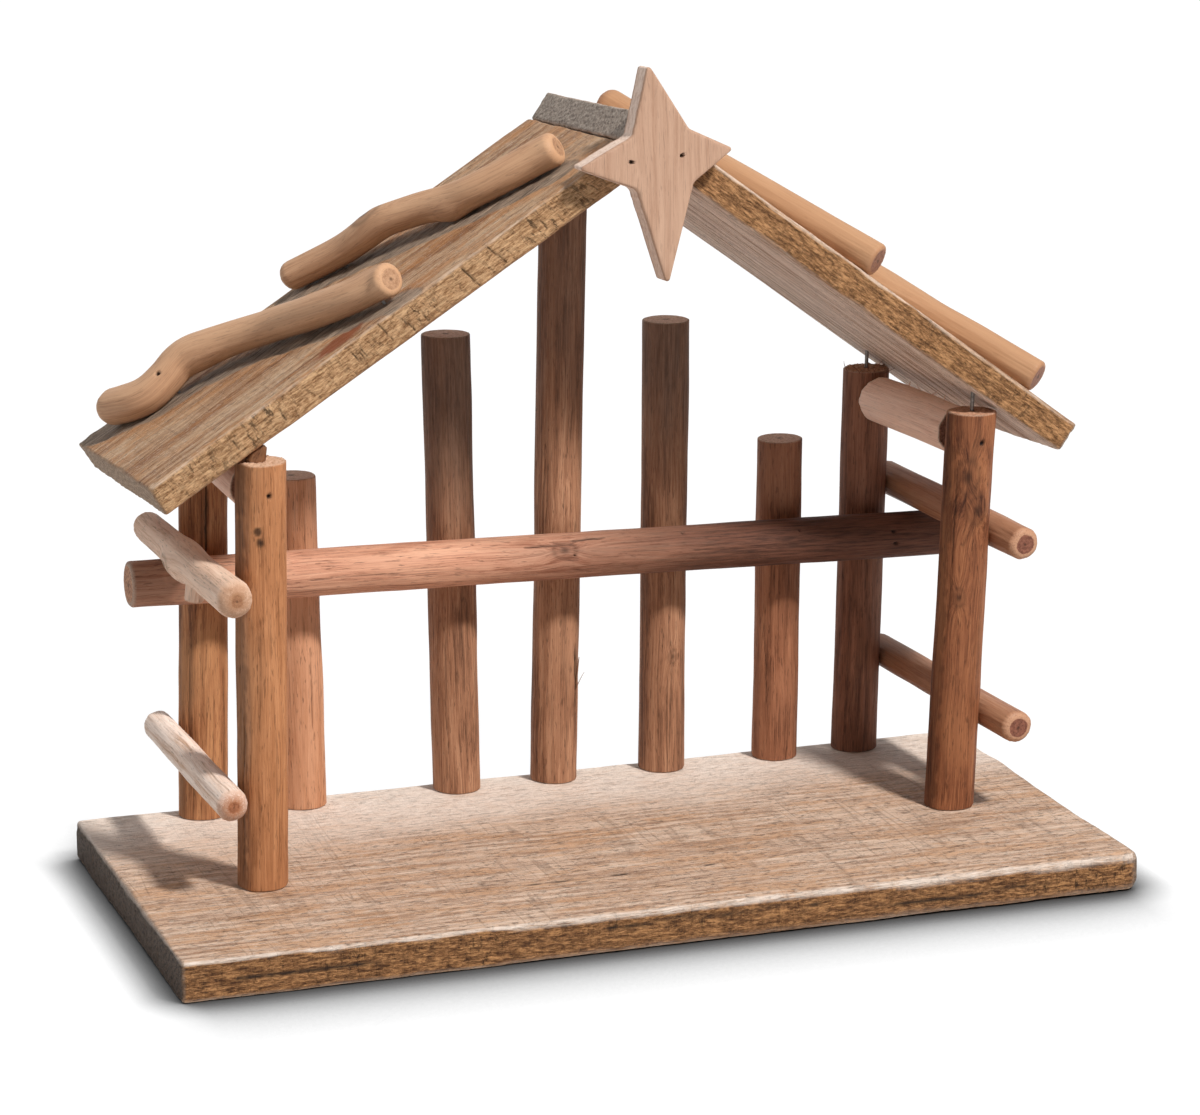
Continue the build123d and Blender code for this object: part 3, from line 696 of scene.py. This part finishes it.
def steel(name, dull, bright):
    """Bare wire with a few dull spots."""
    g = Nodes(bpy.data.materials.new(name))
    spots = g.noise(g.add("TexCoord", {}, "Object"), (900.0, 900.0), 3.0)
    g.feed("Principled BSDF", {"Base Color": g.ramp(spots, (0.35, srgb(dull)), (0.65, srgb(bright))),
                               "Roughness": g.band(spots, 0.0, 1.0, 0.3, 0.55), "Metallic": 1.0})
    return g.owner


# Woods: pale, middle and deep grain, then the light and dark of a cut end
COARSE = dict(pores=0.35, lines=0.25, relief=0.14, fine=0.8, spread=0.13)
PLANK = dict(ring=3.0, relief=0.45, grit=0.3, pits=0.5, pores=0.6)
POST_ORANGE = wood("post_orange", (199, 140, 97), (178, 119, 78), (134, 84, 52),
    (226, 186, 156), (190, 144, 112), spread=0.1)
POST_PINK = wood("post_pink", (216, 162, 128), (199, 142, 106), (164, 105, 72),
    (226, 190, 164), (190, 146, 118), grey=(128, 100, 84), spread=0.13)
POST_GOLD = wood("post_gold", (190, 136, 93), (163, 109, 72), (110, 70, 45),
    (214, 176, 140), (170, 126, 94), spread=0.075)
# Painted shade: the grey of POST_BROWN and POST_RED is the dark of the roof's shadow on the upper pickets and
# ridge post.
POST_BROWN = wood("post_brown", (186, 138, 106), (160, 112, 83), (112, 76, 56),
    (220, 186, 162), (180, 140, 116), grey=(104, 84, 72), spread=0.075)
POST_RED = wood("post_red", (176, 120, 88), (150, 97, 69), (102, 62, 43),
    (206, 166, 140), (160, 116, 92), grey=(104, 70, 56))
POST_DARK = wood("post_dark", (152, 104, 80), (128, 84, 63), (88, 56, 42), (196, 152, 122), (140, 98, 76))
POST_STREAKED = wood("post_streaked", (172, 113, 75), (138, 84, 55), (82, 47, 31),
    (200, 154, 124), (146, 100, 76), spread=0.095, grit=0.2)
# Painted shade: the grey of RAIL_PINK is the dark of the right roof board's shadow on the rail.
RAIL_PINK = wood("rail_pink", (220, 168, 138), (204, 148, 119), (156, 100, 75),
    (196, 146, 112), (124, 80, 58), grey=(100, 64, 49), spread=0.085)
TIE_PALE = wood("tie_pale", (250, 218, 196), (242, 202, 178), (208, 158, 130),
    (150, 104, 82), (96, 60, 46), lines=0.25, pores=0.15, spread=0.13)
PEELED_TAN = wood("peeled_tan", (214, 172, 136), (198, 154, 119), (160, 116, 86),
    (192, 150, 116), (160, 118, 88), worn=(206, 160, 122), pores=0.2, lines=0.15, relief=0.10,
    rough=(0.45, 0.65), grit=0.1, spread=0.2)
PEELED_ORANGE = wood("peeled_orange", (194, 150, 113), (181, 136, 100), (158, 112, 79),
    (160, 110, 84), (124, 80, 60), worn=(176, 124, 90), pores=0.06, lines=0.05, relief=0.06,
    rough=(0.42, 0.6), grit=0.06, spread=0.3)
PEELED_RED = wood("peeled_red", (178, 131, 100), (158, 110, 82), (124, 80, 57),
    (146, 94, 74), (106, 64, 50), worn=(200, 152, 120), pores=0.12, lines=0.15, relief=0.09,
    rough=(0.42, 0.62), grit=0.1, spread=0.14)
PEELED_GREY = wood("peeled_grey", (244, 226, 212), (232, 208, 190), (192, 152, 122),
    (172, 112, 78), (138, 84, 58), worn=(178, 118, 82), **COARSE)
PEELED_DUSK = wood("peeled_dusk", (236, 206, 182), (222, 186, 160), (180, 136, 106),
    (172, 124, 90), (138, 92, 66), worn=(176, 128, 94), **COARSE)
# Its worn colour also serves as a painted sheen on the back of the base top.
BASE_WOOD = wood("base_wood", (222, 195, 172), (196, 163, 138), (150, 114, 88), (98, 80, 66), (46, 36, 29),
    edge=((196, 143, 93), (142, 98, 61), (84, 53, 31)), worn=(236, 219, 204),
    blush=(192, 144, 104), saw=0.4, slit=0.35, check=0.8, pores=0.65, ring=3.2, relief=0.45,
    grit=0.34, pits=0.6, flecks=0.45, short=3.0, spread=0.095)
LEFT_ROOF = wood("left_roof", (208, 174, 140), (180, 138, 102), (136, 88, 54), (186, 158, 132), (122, 98, 78),
    edge=((218, 176, 132), (188, 145, 104), (134, 94, 60)), grey=(158, 136, 116),
    knot=(140, 74, 42), blush=(190, 130, 78), saw=0.12, check=0.8, slit=0.15, flecks=0.35,
    short=2.0, spread=0.075, **PLANK)
RIGHT_ROOF = wood("right_roof", (238, 216, 198), (216, 186, 162), (156, 116, 88),
    (190, 174, 158), (106, 92, 82),
    edge=((198, 148, 101), (153, 109, 70), (94, 62, 37)), saw=0.1, slit=0.3, check=0.5, lines=0.5,
    spread=0.065, **PLANK)
STAR_WOOD = wood("star_wood", (201, 163, 137), (189, 151, 126), (166, 125, 99),
    (214, 184, 162), (190, 156, 134),
    edge=((242, 218, 200), (230, 202, 182), (206, 174, 152)), pores=0.2, lines=0.25, relief=0.08,
    ring=2.0, fine=1.4, grit=0.24, spread=0.14)
STEEL = steel("wire_steel", (96, 92, 88), (168, 166, 164))
RUSTY = steel("rusty_wire", (84, 76, 70), (132, 124, 118))


# Uprights

def surface_spot(spine, radius, at, angle):
    """A place on a stick's surface: the point, its outward direction and the stick's direction."""
    length = spine_rows(spine, [0.0])[2]
    middle, axis, _ = spine_rows(spine, [(at if at >= 0 else length + at) / length])
    e1 = unit(-LOOK + (axis[0] @ LOOK) * axis[0])
    out = math.cos(math.radians(angle)) * e1 + math.sin(math.radians(angle)) * np.cross(axis[0], e1)
    return middle[0] + radius * out, out, axis[0]


def hair(foot, way, curl, long, thick, seed):
    """A loose fibre that leaves its foot one way and curls aside."""
    spine = [foot + long * (t * way + t * t * curl) for t in (-0.08, 0.3, 0.65, 1.0)]
    return stick(spine, (thick, 0.8 * thick, 0.35 * thick), seed, rims=(0.05, 0.05), oval=0.0, lumps=0.0,
                 fibre=0.0, torn=(0.0, 0.0), around=6, step=0.8)


def hairs(spine, radius, spots, seed):
    """Loose fibres on a stick: (place, angle, length, thickness, lean along the stick, curl)."""
    made = []
    for k, (at, angle, long, thick, lean, bend) in enumerate(spots):
        foot, out, axis = surface_spot(spine, radius, at, angle)
        way = unit(out * (1 - abs(lean)) + lean * axis)
        made.append(hair(foot, way, bend * np.cross(axis, out), long, thick, seed + k))
    return made


def torn_wedge(top, foot, tip, wide, narrow, seed):
    """A torn piece of wood that stands up from the top of a post."""
    spine = (top + np.array(foot), top + np.array(tip))
    return stick(spine, (wide, narrow), seed, torn=(0.1, 0.5), stains=((2, 0, 14, 40, 0.6),), around=40)


def upright(node, wood_of, seed, loose=(), wedge=None, **marks):
    ends = level_ends(node)
    shape = stick(ends, POST_RADII, seed, level=True, **marks)
    extra = hairs(ends, POST_RADII[0], loose, seed)
    if wedge:
        extra.append(torn_wedge(ends[1], *wedge, seed + 80))
    piece(node + "_look", joined(shape, *extra), wood_of, "round_wood", node)


upright("front_left_post", POST_ORANGE, 1, facets=((-52, 1.1, 0, 400),), holes=((-12, 25, 1.1),),
        torn=(0.1, 0.5), wedge=((-2.2, 1.0, -1.0), (0.6, 1.4, 6.2), 4.2, 2.4),
        stains=((-26, -2, 1.8, 1.5, 0.85), (-30, 2, 2.2, 1.8, 0.85), (75, -62, 170, 5.5, 0.5)),
        cracks=((8, 74, -50, 0.5, 0.5), (14, 52, -36, 0.4, 0.4), (60, 118, -62, 0.4, 0.3)))
upright("back_left_post", POST_GOLD, 2, cracks=((-52, -22, 12, 0.7, 0.9), (20, 80, -30, 0.4, 0.3)))
upright("far_left_picket", POST_PINK, 3, cracks=((30, 70, 40, 0.3, 0.3),))
# Painted shade: the grey set in up the left picket, ridge post, right picket and far right picket darkens
# their upper parts, where the roof's shadow falls.
upright("left_picket", POST_BROWN, 4, cracks=((20, 80, -20, 0.35, 0.3), (60, 120, 30, 0.35, 0.3)),
        weather=((90, 170, 0.75),))
upright("ridge_post", POST_BROWN, 5, cracks=((30, 62, 62, 0.6, 0.7), (80, 150, -35, 0.4, 0.3)),
        stains=((52, 60, 7, 1.2, 0.6),), weather=((125, 235, 0.6),),
        loose=((44, 66, 11, 0.5, 0.93, 0.05), (40, 60, 9, 0.22, 0.75, 0.3)))
upright("right_picket", POST_BROWN, 6, cracks=((10, 60, 20, 0.35, 0.3),), knots=((52, 25, 2.2, 0.4),),
        weather=((115, 180, 0.7),))
upright("far_right_picket", POST_RED, 7, cracks=((24, 70, -30, 0.4, 0.3),), weather=((95, 150, 0.3),))
upright("back_right_post", POST_DARK, 8, cracks=((60, 120, 10, 0.4, 0.4),), torn=(0.1, 0.9),
        loose=((-0.5, -60, 6, 0.2, 0.6, 0.4), (-0.5, -20, 5, 0.18, 0.5, -0.5), (-0.5, 15, 7, 0.2, 0.7, 0.5),
               (-1, 50, 5, 0.18, 0.4, 0.3)))
upright("front_right_post", POST_STREAKED, 9, facets=((-48, 0.4, 0, 400),), holes=((-12, 28, 1.3),),
        torn=(0.1, 0.3), knots=((-26, -6, 5.5, 0.7), (-40, 22, 4.5, 0.8), (92, -10, 3, 0.3)),
        stains=((75, -64, 190, 4.5, 0.45),), cracks=((-70, -22, -28, 0.4, 0.4), (70, 110, -35, 0.35, 0.3)))


# Rear rail and ties

def lying(node, rough, wood_of, seed, radii, slot="peeled_branch", loose=(), extra=(), **marks):
    spine = node_ends(node, rough)
    shape = stick(spine, radii, seed, **marks)
    piece(node + "_look", joined(shape, *hairs(spine, radii[0], loose, seed), *extra), wood_of, slot, node)


# Painted shade: the grey set in along the rear rail towards its right end is the right roof board's shadow.
lying("rear_rail", ACROSS, RAIL_PINK, 11, RAIL_RADII, "round_wood", rims=(1.6, 1.6),
      weather=((120, 270, 1.0),),
      cracks=((166, 188, -28, 0.45, 0.5), (186, 203, -42, 0.5, 0.6), (60, 130, 20, 0.3, 0.25),
              (240, 300, 10, 0.4, 0.25)),
      knots=((184, -14, 4.0, 0.35),), stains=((4, 0, 24, 60, 0.42),),
      holes=((-31, -8, 0.8), (-30, 24, 0.8), (144.6, -49, 0.55), (188.3, 0, 0.5), (237.8, -42, 0.55),
             (290.6, -27, 0.55)))
lying("left_tie", BACK, TIE_PALE, 12, TIE_RADII, "round_wood", rims=(0.6, 3.0))
lying("right_tie", BACK, TIE_PALE, 13, TIE_RADII, "round_wood", rims=(0.6, 4.5), fibre=0.2,
      loose=((18, 78, 3, 0.25, 0.5, 0.4), (31, 86, 2.5, 0.3, -0.4, 0.5), (40, 80, 3.5, 0.22, 0.6, -0.3),
             (52, 88, 2.5, 0.3, 0.3, 0.2)))


# Side rails

def twig_stub(node, rough, radius, seed):
    """The cut-off twig that a CAD side rail has."""
    a, b = node_ends(node, rough)
    along, points = unit(b - a), node_points(node)
    t = (points - a) @ along
    off = points - a - t[:, None] * along
    far = np.linalg.norm(off, axis=1)
    tip = points[(off @ unit(off[far.argmax()])) > far.max() - 1.2].mean(0)
    foot = a + along * ((tip - a) @ along)
    radii = (1.25 * radius, 1.05 * radius, radius)
    return stick((foot, 0.5 * (foot + tip), tip), radii, seed, rims=(0.4, 1.2), lumps=0.2)


lying("left_upper_side_rail", -BACK, PEELED_DUSK, 14, LEFT_UPPER_SIDE_RADII, rims=(2.2, 5.0),
      swell=((58, 12, 1.0),), knots=((56, 50, 4, 1.0),), bumps=((66, 80, 9, 6, 1.4),),
      extra=(twig_stub("left_upper_side_rail", -BACK, TWIG_RADIUS, 18),))
lying("left_lower_side_rail", -BACK, PEELED_GREY, 15, LEFT_LOWER_SIDE_RADII, rims=(2.2, 4.0))
lying("right_upper_side_rail", -BACK, PEELED_RED, 16, RIGHT_SIDE_RADII, rims=(2.2, 2.6))
lying("right_lower_side_rail", -BACK, PEELED_RED, 17, RIGHT_SIDE_RADII, rims=(2.2, 2.6))


# Base board

def worn_corner(n):
    """How far a place on a plank is on its upper corners."""
    return smooth(np.minimum(n[:, 2], 1 - n[:, 2]) * 2, 0.15, 0.6)


def base_board():
    low, high = node_points("base_board").min(0), node_points("base_board").max(0)
    cracks = ((150, 182, 42, 0.5, 0.6, "top"), (-60, 40, -50, 0.35, 0.3, "top"),
              (-180, -120, 8, 0.7, 0.5, "front"), (-40, 60, 11, 0.6, 0.5, "front"),
              (80, 170, 7, 0.6, 0.5, "front"))

    def rim(p):
        front = smooth(p[:, 1], 60, -60) * smooth(p[:, 0], -170, 170)
        uneven = 0.8 * noise(p[:, 0] * 0.05, p[:, 1] * 0.05, seed=3, octaves=2)
        return np.clip(2.1 + 2.3 * front + uneven, 1.0, 4.8)

    def shape_edge(p, n):
        side = 1 - n[:, 2] ** 2
        chunks = noise(p[:, 0] * 0.35, p[:, 1] * 0.35, p[:, 2] * 0.35, 5, 3)
        return -0.35 * side * (0.6 + chunks).clip(0, 2) - 0.15

    def masks(p, n):
        worn = worn_corner(n) * (0.7 + 0.3 * noise(p[:, 0] * 0.2, p[:, 1] * 0.2, seed=7))
        worn = worn * np.where(np.abs(n[:, 0]) > 0.4, 0.35, 1.0)
        # Painted sheen: the back of the top is made paler, where light grazes it, on top of the real wear of
        # the corners.
        ragged = 8 * noise(p[:, 0] * 0.02, p[:, 1] * 0.05, seed=9, octaves=2)
        painted_sheen = 0.9 * smooth(p[:, 1] + ragged, 10, 70) * n[:, 2].clip(0, 1)
        return np.maximum(worn, painted_sheen), *np.zeros((2, len(p)))

    shape = slab((ACROSS, BACK, UP), low, high, 1, (1.5, 1.5, 1.2), rim, shape_edge,
                 lambda p, n: slits(p, n, cracks, 4), masks, (30.0, -70.0))
    piece("base_board_look", shape, BASE_WOOD, "base_plank", "base_board")


base_board()


# Roof boards

def board_frame(node, up):
    """A roof board's directions, along the slope, back and out of its top, and its corners along them."""
    ez = node_normal(node, up)
    ey = node_normal(node, BACK)
    axes = (np.cross(ey, ez), ey, ez)
    local = node_points(node) @ np.stack(axes).T
    return axes, local.min(0), local.max(0)


LEFT_BOX = LEFT_AXES, LEFT_LOW, LEFT_HIGH = board_frame("left_roof_board", (-0.53, 0, 0.85))
RIGHT_BOX = RIGHT_AXES, RIGHT_LOW, _ = board_frame("right_roof_board", (0.59, 0, 0.81))


def roof_board(node, wood_of, box, seed, cracks=(), end=None, marks=None, step=(1.2, 1.2, 1.0)):
    axes, low, high = box

    def rim(p):
        return np.clip(1.6 + 0.8 * noise(p[:, 0] * 0.06, p[:, 1] * 0.06, p[:, 2] * 0.1, seed, 2), 0.6, 3.0)

    def masks(p, n):
        uneven = 0.6 + 0.5 * noise(p[:, 0] * 0.2, p[:, 1] * 0.2, seed=seed + 9)
        worn = 0.7 * worn_corner(n) * uneven.clip(0, 1)
        worn = worn * np.where(np.abs(n[:, 0]) > 0.3, 0.0, 1.0)
        grey, knot = marks(p - low, n) if marks else np.zeros((2, len(p)))
        return worn, grey, knot

    def shape_edge(p, n):
        side = 1 - n[:, 2] ** 2
        chunks = noise(p[:, 0] * 0.3, p[:, 1] * 0.5, p[:, 2] * 0.5, seed + 5, 3)
        waves = 0.12 * noise(p[:, 0] * 0.02, p[:, 1] * 0.3, seed=seed + 8, octaves=2)
        grey = masks(p, n)[1]
        worn_off = grey * (0.45 + 0.5 * noise(p[:, 0] * 0.12, p[:, 1] * 0.7, seed=seed + 12, octaves=3))
        return -0.3 * side * (0.5 + chunks).clip(0, 2) + waves * n[:, 2] ** 2 - 0.12 - worn_off

    shape = slab(axes, low, high, seed, step, rim, shape_edge,
                 lambda p, n: edge_checks(p - low, n, cracks, seed), masks, (20.0, -60.0), end)
    piece(node + "_look", shape, wood_of, "roof_plank", node)


def line_gap(x, y, stops):
    """Distance of plane points from a line through stops."""
    gap = np.full(len(x), 1e9)
    for (x0, y0), (x1, y1) in zip(stops[:-1], stops[1:]):
        dx, dy = x1 - x0, y1 - y0
        t = np.clip(((x - x0) * dx + (y - y0) * dy) / (dx * dx + dy * dy), 0, 1)
        gap = np.minimum(gap, np.hypot(x - x0 - t * dx, y - y0 - t * dy))
    return gap


def left_marks(p, n):
    """Grey strips under the branches and a resinous knot at the front arris."""
    x, y = p[:, 0], p[:, 1]
    top = smooth(n[:, 2], 0.3, 0.8)
    grey = np.zeros(len(p))
    ragged = 2.5 * noise(x * 0.06, y * 0.06, seed=51, octaves=3)
    for line, half in ((((2, 124), *LEFT_LOWER_SPINE[2:]), 8.5), (LEFT_UPPER_SPINE, 9.0)):
        gap = line_gap(x, y, [(a, b - 4) for a, b, *_ in line])
        grey = np.maximum(grey, smooth(gap + ragged, half + 1.2, half - 1.2))
    d = np.hypot((x - 98 - 0.3 * (y - 10)) / 12, (y - 10) / 7.5)
    return grey * top, 0.9 * smooth(d + 0.15 * noise(x * 0.4, y * 0.4, seed=8), 1.1, 0.75) * top


def left_end(p):
    """Where the left board's top end meets the underside of the right board."""
    under = RIGHT_AXES[2]
    ex, ey, ez = LEFT_AXES
    return (RIGHT_LOW[2] - p[:, 1] * (ey @ under) - p[:, 2] * (ez @ under)) / (ex @ under)


LEFT_CHECKS = ((153.5, 0.5, 12.5, 0.45, 0.8), (167, 2, 12, 0.35, 0.6), (122, 0.5, 9, 0.4, 0.7),
               (112.8, 4, 13, 0.3, 0.5), (129, 1, 8, 0.3, 0.5), (97.5, 1, 12, 0.25, 0.4),
               (99.5, 2, 13, 0.25, 0.4), (101.5, 1, 11, 0.25, 0.4), (190, 3, 9, 0.35, 0.5),
               (60, 2, 8, 0.3, 0.4), (38, 4, 12, 0.3, 0.4))
roof_board("left_roof_board", LEFT_ROOF, LEFT_BOX, 21, LEFT_CHECKS, left_end, left_marks, (0.6, 1.5, 0.8))
roof_board("right_roof_board", RIGHT_ROOF, RIGHT_BOX, 22)


# Branches on the roof

def on_left_board(stops):
    """Points given as mm up the slope from the eave, from the front edge and above the top face."""
    corner = np.array([LEFT_LOW[0], LEFT_LOW[1], LEFT_HIGH[2]])
    return [(corner + np.array(stop)) @ np.stack(LEFT_AXES) for stop in stops]


def bent_branch(node, spine, radii, seed, **marks):
    shape = stick(on_left_board(spine), radii, seed, lumps=0.2, fibre=0.05, **marks)
    piece(node + "_look", shape, PEELED_TAN, "peeled_branch", node)


bent_branch("left_lower_branch", LEFT_LOWER_SPINE, LEFT_LOWER_RADII, 31, rims=(5, 2.5),
            holes=((33, -22, 0.9),), bumps=((50, 80, 11, 9, 1.6),))
bent_branch("left_upper_branch", LEFT_UPPER_SPINE, LEFT_UPPER_RADII, 32, rims=(5, 3),
            bumps=((87, 66, 7, 6, 2.4),), knots=((50, -70, 5, 0.9),))
lying("right_upper_branch", ACROSS, PEELED_ORANGE, 33, RIGHT_UPPER_RADII, rims=(5.5, 1.6))
lying("right_lower_branch", ACROSS, PEELED_ORANGE, 34, RIGHT_LOWER_RADII, rims=(3.0, 1.6),
      swell=((52, 12, 0.5), (84, 12, -0.35)))


# Star

def star_plane(normal):
    """Middle of the CAD star's front face, and the directions across and up in its plane."""
    total, weight = np.zeros(3), 0.0
    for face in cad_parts["star"].data.polygons:
        if np.array(face.normal) @ normal > 0.99:
            total, weight = total + np.array(face.center) * face.area, weight + face.area
    ex = unit(np.cross(normal, UP)) * -1
    return total / weight / MM, ex, np.cross(normal, ex) * -1


def star_outline(normal, centre, ex, ez):
    """Outline of the CAD star's front face in its plane, rough on the left, and the places of its brads."""
    points = node_points("star")
    reach = points @ normal
    front = points[reach > reach.max() - 0.02]
    flat, brads = (columns((q - centre) @ ex, (q - centre) @ ez) for q in (front, node_points("star_brads")))
    apart = np.linalg.norm(flat[:, None] - brads[None], axis=2).min(1)
    flat = flat[apart > 1.5]
    loop = flat[np.argsort(np.arctan2(flat[:, 1], flat[:, 0]))]
    loop = np.vstack([loop, loop[:1]])
    gone = np.concatenate([[0], np.cumsum(np.linalg.norm(np.diff(loop, axis=0), axis=1))])
    keep = np.concatenate([[True], np.diff(gone) > 1e-6])
    share = np.linspace(0, gone[-1], STAR_AROUND, endpoint=False)
    xs, zs = np.interp(share, gone[keep], loop[keep, 0]), np.interp(share, gone[keep], loop[keep, 1])
    saw = 0.3 * smooth(xs, 0, -6)
    cut = 1 - saw * (0.5 + 0.5 * noise(share * 0.55, seed=71, octaves=2)) / np.hypot(xs, zs)
    spots = [brads[brads[:, 0] < 0].mean(0), brads[brads[:, 0] >= 0].mean(0)]
    return xs * cut, zs * cut, spots


def star_rings(half):
    """Rings from the front's middle over the edge to the back's: (share of the outline, height over the
    middle plane, 1 on a face and 0 on the edge, inset), closer together where the brads are."""
    shares = np.linspace(0.04, 0.88, 26)
    by_brads = np.sort(np.concatenate([shares, np.linspace(0.27, 0.41, 19)]))
    rounding = [(STAR_RIM * (1 - math.cos(a)), -STAR_RIM * (1 - math.sin(a)))
                for a in np.linspace(0, math.pi / 2, 4)]
    edge = np.linspace(half - STAR_RIM, STAR_RIM - half, 10)[1:-1]
    rings = [(share, half, 1.0, 0.0) for share in by_brads]
    rings += [(1.0, half - drop, 1.0, inset) for drop, inset in rounding]
    rings += [(1.0, y, 0.0, 0.0) for y in edge]
    rings += [(1.0, -half + drop, 1.0, inset) for drop, inset in rounding[::-1]]
    return rings + [(share, -half, 1.0, 0.0) for share in shares[::-1]]


def star():
    points, normal = node_points("star"), node_normal("star", -BACK)
    centre, ex, ez = star_plane(normal)
    xs, zs, spots = star_outline(normal, centre, ex, ez)
    half = 0.5 * (points @ normal).max() - 0.5 * (points @ normal).min()
    centre = centre - half * normal
    along, across, deep = STAR_GRAIN
    rings = star_rings(half)
    rows, coords, side, darks = [], [], [], []
    for share, y, flatness, inset in rings:
        k = share * (1 + inset / np.hypot(xs, zs))
        x, z = xs * k, zs * k
        apart = np.min([np.hypot(x - a, z - b) for a, b in spots], axis=0)
        sunk = smooth(apart, 0.95, 0.6) * (y == half)
        rows.append(centre + x[:, None] * ex + z[:, None] * ez + (y - 1.8 * sunk)[:, None] * normal)
        coords.append(columns(z + along, x + across, np.full(STAR_AROUND, y + deep)))
        side.append(np.full(STAR_AROUND, 1.0 - flatness))
        darks.append(sunk)
    middles = [centre + half * normal, centre - half * normal]
    grain = np.vstack(coords + [[[along, across, deep + half], [along, across, deep - half]]])
    sides, sunk = (np.concatenate(values + [[0.0, 0.0]]) for values in (side, darks))
    zero = np.zeros(len(sides))
    shape = Shape(np.vstack(rows + [middles]), tube_faces(len(rings), STAR_AROUND, flip=True), grain,
                  columns(sunk, zero, zero), columns(zero, sides, zero))
    piece("star_look", shape, STAR_WOOD, "star_plank", "star")


star()

# Nails, brads and pins stay as the CAD has them
for node in ("base_nails", "rail_brads", "tie_brads", "side_rail_brads", "roof_pins", "ridge_nails",
             "branch_brads", "star_brads"):
    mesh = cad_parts[node].data
    mesh.materials.clear()
    mesh.materials.append(RUSTY if node == "roof_pins" else STEEL)


# Stage

def stage():
    """A white floor with a soft painted contact shadow round the base, narrower beside its ends."""
    g = Nodes(bpy.data.materials.new("floor_paper"))
    place = g.add("TexCoord", {}, "Object")
    paper = g.ramp(g.noise(place, (40.0, 40.0)), (0.3, srgb((212,) * 3)), (0.7, srgb((215,) * 3)))
    g.feed("Principled BSDF", {"Base Color": paper, "Roughness": 0.9, "Specular IOR Level": 0.1})

    # Painted shade: the floor's glow is dimmed where the base shuts off the sky round it, which draws the
    # contact shadow.
    def open_sky(reach, power):
        return g.math("POWER", g.add("AmbientOcclusion", {"Distance": reach * MM}, "AO", samples=16), power)

    wide, close = open_sky(*PAINTED_SHADE_BEFORE), open_sky(*PAINTED_SHADE_BESIDE)
    beside = g.band(g.math("ABSOLUTE", g.parts(place)["X"]), BESIDE_FROM * MM, BESIDE_TO * MM)
    painted_openness = g.math("ADD", wide, g.math("MULTIPLY", beside, g.math("SUBTRACT", close, wide)))
    glow = g.add("Emission", {"Strength": g.math("MULTIPLY", painted_openness, FLOOR_WHITE)})
    thin = g.add("BsdfDiffuse", {"Color": (0.06, 0.06, 0.06, 1.0)})
    lit = g.tree.nodes["Principled BSDF"].outputs[0]
    shown = g.add("MixShader", {0: g.background_rays(), 1: lit, 2: g.add("AddShader", {0: thin, 1: glow})})
    g.feed("Material Output", {"Surface": shown})
    bpy.ops.mesh.primitive_plane_add(size=FLOOR_SIZE)
    floor = bpy.context.object
    floor.name = "floor"
    floor.data.materials.append(g.owner)


def aimed(name, data, place, toward):
    """A lamp or camera at a place, looking along a direction."""
    made = bpy.data.objects.new(name, data)
    made.location = Vector(place * MM)
    made.rotation_euler = Vector(toward).to_track_quat("-Z", "Y").to_euler()
    bpy.context.scene.collection.objects.link(made)
    return made


def lights():
    lamp = bpy.data.lights.new("key", "AREA")
    lamp.shape, lamp.size, lamp.energy = "DISK", KEY_SIZE * MM, KEY_STRENGTH * math.pi
    g = Nodes(lamp)
    g.feed("Emission", {"Strength": g.add("LightFalloff", {"Strength": 1.0}, "Constant")})
    aimed("key", lamp, KEY_PLACE, KEY_AIM - KEY_PLACE)
    world = bpy.data.worlds.new("sky")
    bpy.context.scene.world = world
    g = Nodes(world)
    toward = g.parts(g.add("TexCoord", {}, "Generated"))
    level = g.math("ADD", g.band(toward["Y"], -0.7, 0.9, SKY_FRONT, SKY_BACK),
                   g.band(toward["X"], 0.0, -1.0, 0.0, SKY_LEFT))
    g.feed("Background", {"Color": SKY_TINT, "Strength": level})
    sky, backdrop = g.tree.nodes["Background"].outputs[0], g.add("Background", {"Color": BACKDROP})
    g.feed("World Output", {"Surface": g.add("MixShader", {0: g.background_rays(), 1: sky, 2: backdrop})})


def camera():
    data = bpy.data.cameras.new("camera")
    data.lens, data.sensor_width, data.sensor_fit = LENS, SENSOR, "HORIZONTAL"
    data.clip_end = FAR
    bpy.context.scene.camera = aimed("camera", data, EYE, LOOK)


stage()
lights()
camera()
bpy.context.scene.view_settings.view_transform = "Standard"
